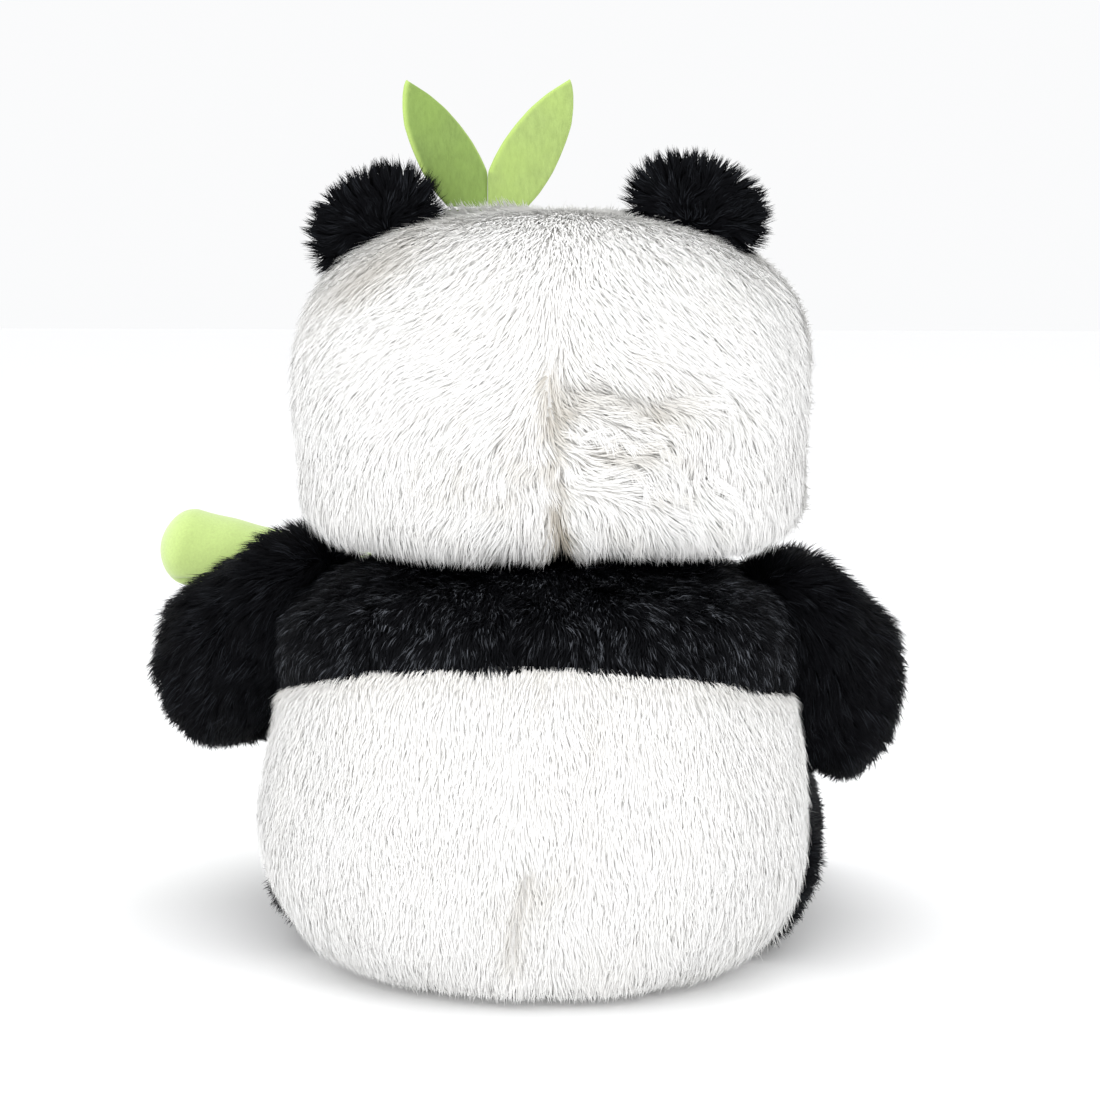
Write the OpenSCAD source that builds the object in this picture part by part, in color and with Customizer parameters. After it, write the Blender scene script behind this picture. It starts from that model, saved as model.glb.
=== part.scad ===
// Sitting plush panda with jointed head, arms, legs, ears and sprout leaves, hugging a bamboo
// stick. Millimetres, +Z up, the face looks to -Y, the toy's own left is +X, and the origin is
// the centre of the flat seat. Covers are soft shells whose outside is half-way up the pile.
// Every node is one cut-and-sewn piece, one moulded piece or one filling.

/* [Lower body] */
// Half-width of the lower body at its widest
body_half_w = 99; // [80:0.5:115]
// Half-width of the body at the top of the shoulders' curve
shoulder_half_w = 92; // [76:0.5:108]
// Depth of the body as a share of its width
body_depth = 0.83; // [0.65:0.01:0.95]
// Height of the widest ring of the body
body_wide_z = 60; // [45:1:75]
// Height at which the shoulders start to close
shoulder_z = 110; // [95:1:125]
// Top of the body under the head
body_top_z = 149; // [140:0.5:160]
// Half-width of the flat seat
seat_half_w = 58; // [40:0.5:70]
// Height of the seam between the white lower body and the black yoke, at the sides
yoke_seam_z = 101; // [90:1:120]
// Distance of the body's side seams behind the middle
side_seam_y = 9; // [0:1:20]
// How much higher that seam is at the middle of the back
yoke_seam_rise = 18; // [0:1:30]

/* [Head] */
// Half-width of the head
head_half_w = 92.5; // [76:0.5:110]
// Depth of the head as a share of its width
head_depth = 0.83; // [0.7:0.01:1]
// Height of the head's widest ring above the floor
head_mid_z = 199; // [185:1:215]
// Height of the head above its widest ring
head_up = 69.5; // [55:0.5:85]
// Squareness of the crown, 2 being an oval
crown_n = 2.9; // [2:0.1:3.5]
// Depth of the head below its widest ring
head_down = 47; // [38:0.5:60]
// How far the head leans to the toy's right
head_lean = 4.5; // [0:0.5:10]
// How far the head stands forward of the body
head_forward = 8; // [0:1:20]
// Radius of the neck's ball of stuffing
neck_r = 30; // [22:0.5:36]
// Height of the neck ball's centre
neck_z = 151; // [145:0.5:156]

/* [Ears and leaves] */
// Half-width of an ear
ear_half_w = 20.5; // [14:0.5:26]
// Half-thickness of an ear
ear_half_t = 8; // [4:0.5:10]
// Half-height of the ear's oval
ear_half_h = 13.5; // [12:0.5:24]
// Thickness of the leaf felt
leaf_t = 3; // [1.5:0.5:5]
// Length of a leaf from its fold to its tip
leaf_len = 44.6; // [30:1:60]
// How far a leaf's tip reaches to the side
leaf_w = 30.4; // [20:0.2:40]

/* [Face] */
// Half-spacing of the eyes
eye_x = 35; // [24:0.5:46]
// Height of the eyes
eye_z = 204; // [190:1:218]
// Radius of an eye's dome
eye_r = 7.5; // [5:0.5:10]
// Height of the muzzle
muzzle_z = 179; // [170:1:190]

/* [Arms] */
// Radius of the arm's ball at the left shoulder
arm_r = 25; // [20:0.5:28]
// How far the left elbow stands out from the middle
left_elbow_x = 125; // [105:1:135]
// How far the right elbow stands out from the middle
right_elbow_x = 110; // [100:1:125]
// Radius of the wrists
wrist_r = 18; // [14:0.5:20]
// How far the arms swing open in their shoulder balls
arm_swing = 45; // [10:1:60]

/* [Legs] */
// Radius of a leg at the hip
leg_r = 34; // [28:0.5:36]
// Half-spacing of the hips
hip_x = 66.5; // [60:0.5:72]
// How far forward of the seat's centre the hips are
hip_forward = 18; // [10:1:26]
// How far the feet reach forward
foot_forward = 148; // [125:1:165]
// How far the legs splay in their hip balls
leg_splay = 10; // [4:1:14]

/* [Bamboo] */
// Radius of the bamboo's stuffed segments
bamboo_r = 15.5; // [11:0.5:18]
// Slope of the bamboo, rising to the toy's left
bamboo_slope = 14; // [0:1:25]
// Distance from the middle of the body to the bamboo's upper end, along the slope
bamboo_left = 162; // [140:1:175]
// Distance from the middle of the body to the bamboo's lower end, along the slope
bamboo_right = 47; // [35:1:60]
// How far forward the bamboo is held
bamboo_forward = 97; // [92:1:105]
// Height of the bamboo's axis in front of the middle of the body
bamboo_z = 100.5; // [95:0.5:110]
// Radius of the bamboo's gathered necks
bamboo_neck_r = 12.2; // [8:0.1:14]

/* [Cloth] */
// Thickness of the pile cloth, backing and half the pile
pile = 6; // [3:0.5:8]
// Thickness of the bamboo's short cloth
velour = 2.4; // [1.2:0.1:4]
// Gap between sewn pieces
gap = 0.2; // [0.1:0.05:0.5]
// Gap between pieces that move on each other
run_gap = 0.9; // [0.5:0.1:2]

/* [Hidden] */
$fn = 48;
hx = -head_lean;
hy = -head_forward;
head_c = [hx, hy, head_mid_z];
neck_c = [hx / 2, hy / 2, neck_z];
cols = 28;
white = [0.95, 0.94, 0.92];
black = [0.07, 0.07, 0.08];
fill = [0.86, 0.87, 0.88];
green = [0.66, 0.78, 0.42];
leaf_green = [0.62, 0.76, 0.4];
left_c = [90, -22, 125];
right_c = [-89, -22, 119];
left_path = [left_c, [left_elbow_x, -50, 97], [105, -98, 87.5], [80, -127.5, 99.5]];
right_path = [right_c, [-right_elbow_x, -50, 90], [-84, -104, 89], [-45, -134, 95]];
left_rs = [[arm_r, arm_r], [21.5, 27], [wrist_r, wrist_r], [19, 19]];
right_rs = [[arm_r + 1, arm_r + 1], [20.5, 30], [wrist_r, wrist_r], [18.5, 18.5]];
function leg_path(s) = [
    [s * hip_x, -hip_forward, leg_r + 0.3],
    [s * (hip_x + 1), -62, leg_r + 0.3],
    [s * (hip_x + 3), -105, leg_r],
    [s * (hip_x + 4), -foot_forward + 16, leg_r]
];
leg_rs = [[leg_r, leg_r], [leg_r, leg_r - 0.2], [leg_r - 1, leg_r - 1], [leg_r - 1.5, leg_r - 1.5]];
stick_c = [0, -bamboo_forward, bamboo_z];
seg_n = 4;
seg_len = (bamboo_left + bamboo_right) / seg_n;

// Signed power, so that a superellipse closes round all four quarters.
function spow(x, p) = (x < 0 ? -1 : 1) * pow(abs(x), p);
// One level ring of a soft body: half-width a, half-depth b, exponent n, centre c, height z.
function ring(a, b, n, c, z, m = cols) =
    [for (j = [0:m - 1]) let (t = 360 * (j + 0.5) / m)
        [c[0] + a * spow(cos(t), 2 / n), c[1] + b * spow(sin(t), 2 / n), z]];

// A closed skin over stacked rings, with a point at each end.
module loft(rings, lo, hi) {
    n = len(rings);
    m = len(rings[0]);
    pts = [for (r = rings) each r, lo, hi];
    function id(i, j) = i * m + j % m;
    polyhedron(points = pts, faces = [
        for (i = [0:n - 2], j = [0:m - 1]) each [
            [id(i, j), id(i + 1, j), id(i + 1, j + 1)],
            [id(i, j), id(i + 1, j + 1), id(i, j + 1)]
        ],
        for (j = [0:m - 1]) each [
            [n * m, id(0, j), id(0, j + 1)],
            [n * m + 1, id(n - 1, j + 1), id(n - 1, j)]
        ]
    ], convexity = 6);
}

// The body's side profile as [half-width, height], from the seat's rim (0) to the top (1).
function body_p(u) =
    u < 0.4 ? let (f = 90 * u / 0.4)
        [seat_half_w + (body_half_w - seat_half_w) * pow(sin(f), 1.05),
         body_wide_z * (1 - pow(cos(f), 0.91))]
    : u < 0.6 ? let (f = (u - 0.4) / 0.2, e = f * f * (3 - 2 * f))
        [body_half_w + (shoulder_half_w - body_half_w) * e,
         body_wide_z + (shoulder_z - body_wide_z) * f]
    : let (f = 90 * (u - 0.6) / 0.4)
        [shoulder_half_w * pow(cos(f), 0.667), shoulder_z + (body_top_z - shoulder_z) * pow(sin(f), 0.667)];
// The head's side profile, from its underside (0) to its crown (1).
function head_p(u) =
    u < 0.5 ? let (f = 180 * u)
        [head_half_w * pow(sin(f), 0.36) * (1 - 0.08 * pow(cos(f), 0.5)), head_mid_z - head_down * pow(cos(f), 0.4)]
    : let (f = 180 * (u - 0.5))
        [head_half_w * pow(cos(f), 2 / crown_n), head_mid_z + head_up * pow(sin(f), 2 / crown_n)];
// The same profile moved inwards by off along its own normal.
function inset(p0, p, p1, off) = let (d = p1 - p0, l = norm(d))
    [p[0] - off * d[1] / l, p[1] + off * d[0] / l];

module body_solid(off = 0) {
    us = [0, 0.03, 0.07, 0.12, 0.18, 0.25, 0.32, 0.4, 0.45, 0.5, 0.55, 0.61, 0.64, 0.69, 0.75,
          0.81, 0.87, 0.93, 0.98, 0.996];
    prof = [for (u = us) inset(body_p(max(u - 0.01, 0)), body_p(u), body_p(min(u + 0.01, 1)), off)];
    loft([for (k = [0:len(us) - 1]) let (p = prof[k])
            ring(p[0], p[0] * body_depth - off * (1 - body_depth), 2.3, [0, 0],
                 k == 0 ? max(off, 0) : max(p[1], off + 0.2 * k))],
         [0, 0, max(off, 0)], [0, 0, body_top_z - off]);
}

module head_solid(off = 0) {
    us = [0.003, 0.012, 0.035, 0.08, 0.14, 0.21, 0.3, 0.4, 0.5, 0.54, 0.59, 0.65, 0.71, 0.78, 0.85,
          0.91, 0.96, 0.988];
    prof = [for (u = us) inset(head_p(max(u - 0.002, 0)), head_p(u), head_p(u + 0.002), off)];
    loft([for (p = prof) ring(p[0], p[0] * head_depth - off * (1 - head_depth), 2.35, head_c, p[1])],
         [hx, hy, head_mid_z - head_down + off], [hx, hy, head_mid_z + head_up - off]);
}

// Point and radii at t along a limb, on a smooth curve through its stations.
function cr(a, b, c, d, t) =
    0.5 * (2 * b + (c - a) * t + (2 * a - 5 * b + 4 * c - d) * t * t + (3 * b - a - 3 * c + d) * t * t * t);
function at(list, t) = let (n = len(list) - 1, i = min(floor(t), n - 1), f = t - i)
    cr(i > 0 ? list[i - 1] : 2 * list[0] - list[1], list[i], list[i + 1],
       i + 2 <= n ? list[i + 2] : 2 * list[n] - list[n - 1], f);
function unit(v) = v / norm(v);
function way(path, t) = let (n = len(path) - 1)
    unit(at(path, min(t + 0.02, n)) - at(path, max(t - 0.02, 0)));
// One ring of a limb: along its own way, side and up, at angles from a0 to a1.
function limb_ring(path, rs, t, off, back, k, a0, a1, m) = let (
        c = at(path, t), r = at(rs, t), w = way(path, t),
        s = unit(cross(w, [0, 0, 1])), u = cross(s, w), q = min(r[0], r[1]) - off)
    [for (j = [0:m]) let (a = a0 + (a1 - a0) * j / m)
        c + w * back * q + s * (r[0] - off) * k * cos(a) + u * (r[1] - off) * k * sin(a)];
// Rows of a limb: a ball at the start, the run, and a round or blunt end.
function limb_rows(path, rs, off, a0, a1, m, end, steps = 4) = let (n = len(path) - 1) concat(
    [for (e = [75, 55, 36, 18]) limb_ring(path, rs, 0, off, -sin(e), cos(e), a0, a1, m)],
    [for (i = [0:n * steps]) limb_ring(path, rs, i / steps, off, 0, 1, a0, a1, m)],
    [for (e = [22, 43, 62, 78]) limb_ring(path, rs, n, off, end * sin(e), cos(e), a0, a1, m)]);
function limb_tip(path, rs, off, end) = let (n = len(path) - 1, r = rs[n])
    path[n] + way(path, n) * end * (min(r[0], r[1]) - off);
function limb_root(path, rs, off) = path[0] - way(path, 0) * (rs[0][0] - off);

module limb_solid(path, rs, off, end = 1, m = 16, steps = 4) {
    rows = limb_rows(path, rs, off, 0, 360 - 360 / m, m - 1, end, steps);
    loft([for (i = [len(rows) - 1:-1:0]) rows[i]], limb_tip(path, rs, off, end),
         limb_root(path, rs, off));
}

// Half a limb's cover, between seams at angles a0 and a1.
module limb_cover(path, rs, a0, a1, end = 1, m = 8) {
    o = limb_rows(path, rs, 0, a0, a1, m, end);
    i = limb_rows(path, rs, pile, a0, a1, m, end);
    n = len(o);
    pts = concat([for (r = o) each r], [for (r = i) each r],
        [limb_root(path, rs, 0), limb_tip(path, rs, 0, end),
         limb_root(path, rs, pile), limb_tip(path, rs, pile, end)]);
    w = m + 1;
    h = n * w;
    r0 = 2 * h;
    faces = [
        for (k = [0:n - 2], j = [0:m - 1]) let (a = k * w + j, b = a + 1, c = a + w, d = c + 1) each
            [[a, d, c], [a, b, d], [h + a, h + c, h + d], [h + a, h + d, h + b]],
        for (j = [0:m - 1]) let (z = (n - 1) * w) each
            [[r0, j + 1, j], [r0 + 2, h + j, h + j + 1],
             [r0 + 1, z + j, z + j + 1], [r0 + 3, h + z + j + 1, h + z + j]],
        for (k = [0:n - 2]) let (a = k * w, c = a + w, b = a + m, d = c + m) each
            [[a, c, h + c], [a, h + c, h + a], [b, h + d, d], [b, h + b, h + d]],
        [r0, 0, h], [r0, h, r0 + 2], [r0, h + m, m], [r0, r0 + 2, h + m],
        [r0 + 1, h + h - w, h - w], [r0 + 1, r0 + 3, h + h - w],
        [r0 + 1, h - 1, h + h - 1], [r0 + 1, h + h - 1, r0 + 3]
    ];
    polyhedron(points = pts, faces = faces, convexity = 8);
}

// The child, cut out of one mesh.
module cut() { minkowski() { children(); } }
module turned(c, a) { translate(c) rotate([0, 0, a]) translate(-c) children(); }

// What the limbs and the neck need clear in the body.
module limb_room() {
    for (a = [0, arm_swing], off = a == 0 ? -run_gap - 1.3 : -run_gap - 1.2) {
        turned(left_c, a) limb_solid(left_path, left_rs, off, 1, 14, 2);
        turned(right_c, -a) limb_solid(right_path, right_rs, off, 1, 14, 2);
    }
    for (s = [-1, 1], a = [0, leg_splay], off = a == 0 ? -run_gap - 1.3 : -run_gap)
        turned(leg_path(s)[0], s * a) limb_solid(leg_path(s), leg_rs, off, 0.5, 14, 2);
    translate(neck_c) sphere(r = neck_r + run_gap, $fn = 26);
}

module body_shell() {
    difference() {
        body_solid(0);
        body_solid(pile);
        limb_room();
        translate([0, 0, -1]) linear_extrude(pile + 2) seat_outline(0);
    }
}
module seat_outline(off) {
    polygon([for (p = ring(seat_half_w - 0.5 - off, seat_half_w * body_depth - 0.5 - off, 2.3, [0, 0], 0, 48))
        [p[0], p[1]]]);
}
// Everything above the wavy seam round the body, raised by off.
module seam_block(off) {
    rise = [for (j = [0:cols - 1]) yoke_seam_z + yoke_seam_rise * pow(max(0, sin(360 * (j + 0.3) / cols)), 1.5)];
    function hoop(r, e = undef) = [for (j = [0:cols - 1]) let (a = 360 * (j + 0.3) / cols)
        [r * cos(a), r * sin(a), e == undef ? rise[j] + off : e]];
    loft([hoop(30), hoop(150), hoop(150, 180)], [0, 0, yoke_seam_z + off], [0, 0, 180]);
}
module side_block(sx, sy, at_y = side_seam_y, off = gap / 2) {
    translate([sx > 0 ? off : sx < 0 ? -200 - off : -200, at_y + (sy > 0 ? off : -200 - off), -10])
        cube([sx == 0 ? 400 : 200, 200, 400]);
}

module above_seam(sx, sy) { intersection() {
    body_shell(); seam_block(gap / 2); side_block(sx, sy); } }
module below_seam(sx, sy) { difference() {
    intersection() { body_shell(); side_block(sx, sy); }
    seam_block(-gap / 2); } }
module yoke_back() { color(black) cut() above_seam(0, 1); }
module yoke_front() { color(black) cut() above_seam(0, -1); }
module back_left() { color(white) cut() below_seam(1, 1); }
module back_right() { color(white) cut() below_seam(-1, 1); }
module belly() { color(white) cut() below_seam(0, -1); }
module seat_panel() { color(white) linear_extrude(pile - 0.3) difference() {
    seat_outline(0.3);
    for (s = [-1, 1]) hull() {
        translate([s * hip_x, -hip_forward]) circle(r = leg_r * 0.6);
        translate([s * hip_x, -90]) circle(r = leg_r * 0.6);
    }
} }
module body_stuffing() { color(fill) cut() difference() { body_solid(pile + 0.4); limb_room(); } }
module neck_stuffing() { color(fill) translate(neck_c) sphere(r = neck_r); }

// Head
ears = [[58, 31, 0], [-49.5, -18, 1.5]];
head_seam_y = 11;
function ear_c(e) = [hx + e[0], hy + head_seam_y,
    head_mid_z + head_up * pow(1 - pow(abs(e[0]) / head_half_w, crown_n), 1 / crown_n) - 3 + e[2]];
sprout = [hx + 23.2, hy - 5];
function face_y(x) = hy - head_half_w * head_depth * pow(1 - pow(abs(x) / head_half_w, 2.35), 1 / 2.35);
eye_turn = 12;
module at_ear(e) { translate(ear_c(e)) rotate([0, e[1], 0]) children(); }
module at_eye(s) { translate([hx + s * eye_x, face_y(eye_x), eye_z]) rotate([0, 0, s * eye_turn])
    rotate([90, 0, 0]) children(); }

module head_room() {
    translate(neck_c) sphere(r = neck_r + run_gap, $fn = 26);
    for (e = ears) at_ear(e) rotate([0, 90, 0]) cylinder(r = ear_half_t + 2.2, h = 2 * ear_half_w + 4, center = true, $fn = 18);
}
module head_shell() {
    difference() {
        head_solid(0);
        head_solid(pile);
        head_room();
        for (s = [-1, 1]) at_eye(s) translate([0, 0, -20]) cylinder(r = 2.7, h = 40, $fn = 13);
    }
}
module head_quarter(sx, sy) { cut() intersection() {
    head_shell(); translate([hx, hy, 0]) side_block(sx, sy, head_seam_y); } }
module head_back_left() { color(white) head_quarter(1, 1); }
module head_back_right() { color(white) head_quarter(-1, 1); }
module face_left() { color(white) head_quarter(1, -1); }
module face_right() { color(white) head_quarter(-1, -1); }
module head_stuffing() { color(fill) cut() difference() {
    head_solid(pile + 0.4);
    head_room();
    for (s = [-1, 1]) at_eye(s) {
        translate([0, 0, -9.4]) cylinder(r = 8.4, h = 9, $fn = 16);
        translate([0, 0, -12.5]) cylinder(r = 2.9, h = 9, $fn = 13);
    }
} }

module patch_shape(s) { at_eye(s) translate([s * 2, -3, -16]) rotate([0, 0, s * 32]) scale([1, 1.32, 1])
    cylinder(r = 15.5, h = 40, $fn = 26); }
module eye_patch(s) { color(black) cut() difference() {
    intersection() { head_solid(-3); patch_shape(s); }
    head_solid(-0.2);
    at_eye(s) translate([0, 0, -20]) cylinder(r = 2.7, h = 50, $fn = 13);
} }
module eye_patch_left() { eye_patch(1); }
module eye_patch_right() { eye_patch(-1); }
module eye(s) { color([0.03, 0.025, 0.025]) at_eye(s) {
    translate([0, 0, -10.5]) cylinder(r = 2.3, h = 15);
    translate([0, 0, 3.7]) intersection() {
        translate([0, 0, -2.6]) sphere(r = eye_r + 0.6);
        cylinder(r = eye_r + 2, h = 12);
    }
} }
module eye_left() { eye(1); }
module eye_right() { eye(-1); }
module eye_washer(s) { color([0.9, 0.9, 0.88]) at_eye(s) translate([0, 0, -9]) difference() {
    cylinder(r = 7.6, h = 1.6);
    translate([0, 0, -1]) cylinder(r = 2.45, h = 4);
} }
module eye_washer_left() { eye_washer(1); }
module eye_washer_right() { eye_washer(-1); }

muzzle_c = [hx, face_y(0) + 5, muzzle_z];
module muzzle_solid(off) { translate(muzzle_c) scale([30 - off, 21 - off, 20 - off]) sphere(r = 1, $fn = 20); }
module muzzle() { color(white) cut() difference() {
    muzzle_solid(0); muzzle_solid(4); head_solid(-0.3); } }
module muzzle_stuffing() { color(fill) cut() difference() { muzzle_solid(4.4); head_solid(-0.3); } }
module nose() { color(black) cut() difference() {
    translate(muzzle_c + [0, -19, 8]) scale([9, 5, 5.6]) sphere(r = 1, $fn = 14);
    muzzle_solid(-0.15);
} }
module mouth_stitch() { color(black) cut() intersection() {
    difference() { muzzle_solid(-1.1); muzzle_solid(-0.1); }
    translate(muzzle_c + [0, 2, -3]) rotate([90, 0, 0]) linear_extrude(40) {
        translate([-0.7, -4]) square([1.4, 8]);
        for (s = [-1, 1]) translate([s * 6.1, -3.6]) difference() {
            circle(r = 6.8, $fn = 18); circle(r = 5.4, $fn = 18);
            translate([-10, 0]) square([20, 10]);
        }
    }
} }

// Ears: two oval halves sewn round the rim, turning in the seam across the head's crown.
module ear_half(e, s) { color(black) at_ear(e) cut() intersection() {
    translate([0, 0, ear_half_h - 7]) scale([ear_half_w, ear_half_t, ear_half_h]) sphere(r = 1, $fn = 24);
    translate([-40, s > 0 ? gap / 2 : -40 - gap / 2, -40]) cube([80, 40, 80]);
} }
module ear_left_back() { ear_half(ears[0], 1); }
module ear_left_front() { ear_half(ears[0], -1); }
module ear_right_back() { ear_half(ears[1], 1); }
module ear_right_front() { ear_half(ears[1], -1); }

// Sprout leaves: two felt blades that fold over a felt base sewn on the crown.
sprout_z = head_mid_z + head_up + 1;
// Stations up one leaf as [height, inner edge, outer edge], in shares of its length and width.
leaf_edge = [[0, 0.01, 0.47], [0.1, 0.01, 0.6], [0.2, 0.012, 0.7], [0.28, 0.02, 0.77], [0.4, 0.1, 0.85],
    [0.52, 0.2, 0.92], [0.65, 0.34, 0.98], [0.78, 0.51, 1], [0.89, 0.7, 1], [0.96, 0.86, 0.985], [1, 0.955, 0.965]];
module leaf(s) {
    n = 16;
    p = [for (i = [0:n]) at(leaf_edge, i * 10 / n)];
    color(leaf_green) translate([sprout[0], sprout[1] + leaf_t / 2, sprout_z + 0.9]) rotate([90, 0, 0])
        linear_extrude(leaf_t) polygon(concat(
            [for (q = p) [s * q[2] * leaf_w, q[0] * leaf_len]],
            [for (i = [n:-1:0]) [s * max(p[i][1] * leaf_w, 0.3), p[i][0] * leaf_len]]));
}
module leaf_left() { leaf(1); }
module leaf_right() { leaf(-1); }
module leaf_base() { color(leaf_green) cut() difference() {
    translate([sprout[0] - 15, sprout[1] - leaf_t / 2, sprout_z - 12]) cube([30, leaf_t, 12]);
    head_solid(-0.3);
} }

// Arms and legs
module arm_left_outer() { color(black) limb_cover(left_path, left_rs, 90.25, 269.75); }
module arm_left_inner() { color(black) limb_cover(left_path, left_rs, -89.75, 89.75); }
module arm_left_stuffing() { color(fill) limb_solid(left_path, left_rs, pile + 0.4); }
module arm_right_outer() { color(black) limb_cover(right_path, right_rs, -89.75, 89.75); }
module arm_right_inner() { color(black) limb_cover(right_path, right_rs, 90.25, 269.75); }
module arm_right_stuffing() { color(fill) limb_solid(right_path, right_rs, pile + 1.4); }
module leg_end(s, y0, y1) {
    translate([s * (hip_x + 4) - 60, -y1, -5]) cube([120, y1 - y0, 100]);
}
module leg_cover(s, a0, a1) { color(black) cut() difference() {
    limb_cover(leg_path(s), leg_rs, a0, a1, 0.7);
    leg_end(s, foot_forward, foot_forward + 40);
} }
module leg_left_outer() { leg_cover(1, 90.25, 269.75); }
module leg_left_inner() { leg_cover(1, -89.75, 89.75); }
module leg_right_outer() { leg_cover(-1, -89.75, 89.75); }
module leg_right_inner() { leg_cover(-1, 90.25, 269.75); }
module leg_stuffing(s) { color(fill) cut() difference() {
    limb_solid(leg_path(s), leg_rs, pile + 0.4, 0.7);
    leg_end(s, foot_forward - 1, foot_forward + 40);
} }
module leg_left_stuffing() { leg_stuffing(1); }
module leg_right_stuffing() { leg_stuffing(-1); }
module sole(s) { color([0.16, 0.15, 0.16]) translate([s * (hip_x + 4), -foot_forward - 0.2, leg_r])
    rotate([90, 0, 0]) cylinder(r = 24, h = 4.5); }
module leg_left_sole() { sole(1); }
module leg_right_sole() { sole(-1); }

// Bamboo: a velour tube gathered by threads into rounded segments, on one filling.
module on_stick() { translate(stick_c) rotate([0, 90 - bamboo_slope, 0])
    translate([0, 0, -bamboo_right]) children(); }
// Outline of segment k as [radius, distance], moved inwards by off.
function seg_edge(k, off) = let (z0 = k * seg_len, e0 = k == 0, e1 = k == seg_n - 1, r = bamboo_r - off,
        q = bamboo_neck_r - off, c = 9) concat(
    e0 ? [for (i = [0:8]) let (a = 90 * i / 8) [r * sin(a), z0 + off + (r * 0.8) * (1 - cos(a))]]
       : [for (i = [0:5]) let (a = 90 * i / 5) [q + (r - q) * sin(a), z0 + gap / 2 + c * (1 - cos(a))]],
    e1 ? [for (i = [0:8]) let (a = 90 * i / 8) [r * cos(a), z0 + seg_len - off - (r * 0.8) * (1 - sin(a))]]
       : [for (i = [0:5]) let (a = 90 * i / 5) [q + (r - q) * cos(a), z0 + seg_len - gap / 2 - c * (1 - sin(a))]]);
module bamboo_segment(k) {
    o = seg_edge(k, 0);
    i = seg_edge(k, velour);
    color(green) on_stick() rotate_extrude() polygon(concat(o, [for (j = [len(i) - 1:-1:0]) i[j]]));
}
module bamboo_segment_1() { bamboo_segment(0); }
module bamboo_segment_2() { bamboo_segment(1); }
module bamboo_segment_3() { bamboo_segment(2); }
module bamboo_segment_4() { bamboo_segment(3); }
module bamboo_tie(k) { color([0.5, 0.66, 0.3]) on_stick() translate([0, 0, k * seg_len])
    rotate_extrude() translate([bamboo_neck_r + 1.65, 0]) circle(r = 0.75); }
module bamboo_tie_1() { bamboo_tie(1); }
module bamboo_tie_2() { bamboo_tie(2); }
module bamboo_tie_3() { bamboo_tie(3); }
module bamboo_stuffing() {
    p = [for (k = [0:seg_n - 1]) each seg_edge(k, velour + 0.3)];
    color(fill) on_stick() rotate_extrude() polygon(concat(p, [[0, seg_n * seg_len - velour - 0.3]], [[0, velour + 0.3]]));
}

head_back_left();
head_back_right();
face_left();
face_right();
head_stuffing();
eye_patch_left();
eye_patch_right();
eye_left();
eye_right();
eye_washer_left();
eye_washer_right();
muzzle();
muzzle_stuffing();
nose();
mouth_stitch();
ear_left_back();
ear_left_front();
ear_right_back();
ear_right_front();
leaf_left();
leaf_right();
leaf_base();
neck_stuffing();
yoke_back();
yoke_front();
back_left();
back_right();
belly();
seat_panel();
body_stuffing();
arm_left_outer();
arm_left_inner();
arm_left_stuffing();
arm_right_outer();
arm_right_inner();
arm_right_stuffing();
leg_left_outer();
leg_left_inner();
leg_left_sole();
leg_left_stuffing();
leg_right_outer();
leg_right_inner();
leg_right_sole();
leg_right_stuffing();
bamboo_segment_1();
bamboo_segment_2();
bamboo_segment_3();
bamboo_segment_4();
bamboo_tie_1();
bamboo_tie_2();
bamboo_tie_3();
bamboo_stuffing();
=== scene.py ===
"""Sitting plush panda with pile cloth, felt leaves and a velour bamboo stick.

Every soft piece is a closed stuffed skin, and the pile on it is cut as tapered strands that
stand on the skin's surface. Lengths inside the shape functions are millimetres.
"""

import bpy
import numpy as np
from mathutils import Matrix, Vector


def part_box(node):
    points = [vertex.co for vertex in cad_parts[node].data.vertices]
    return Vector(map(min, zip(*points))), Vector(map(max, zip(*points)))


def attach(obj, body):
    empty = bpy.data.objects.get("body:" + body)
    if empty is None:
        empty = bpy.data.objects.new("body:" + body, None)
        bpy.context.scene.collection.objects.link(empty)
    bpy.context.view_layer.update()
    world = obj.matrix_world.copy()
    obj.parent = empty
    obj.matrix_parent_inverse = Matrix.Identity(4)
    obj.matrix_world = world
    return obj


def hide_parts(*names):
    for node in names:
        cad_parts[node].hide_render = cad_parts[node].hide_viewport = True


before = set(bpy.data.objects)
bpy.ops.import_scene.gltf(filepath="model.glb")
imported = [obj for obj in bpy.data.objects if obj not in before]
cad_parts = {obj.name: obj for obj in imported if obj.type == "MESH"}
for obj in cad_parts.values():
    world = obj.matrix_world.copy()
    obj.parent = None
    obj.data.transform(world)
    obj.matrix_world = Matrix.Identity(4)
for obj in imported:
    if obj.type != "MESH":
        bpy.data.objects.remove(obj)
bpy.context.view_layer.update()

bl_info = {
    "name": "Plush Panda",
    "version": (1, 0, 0),
    "blender": (4, 5, 0),
    "location": "View3D > Sidebar > Panda",
    "description": "Builds a jointed sitting plush panda on its packed frame",
    "category": "Add Mesh",
}

TAU = 2 * np.pi


def corner(*nodes):
    """Lowest and highest corner of some frame nodes together, in millimetres."""
    boxes = [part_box(n) for n in nodes]
    lo = np.min([np.array(b[0]) for b in boxes], 0) * 1000
    hi = np.max([np.array(b[1]) for b in boxes], 0) * 1000
    return lo, hi


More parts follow.
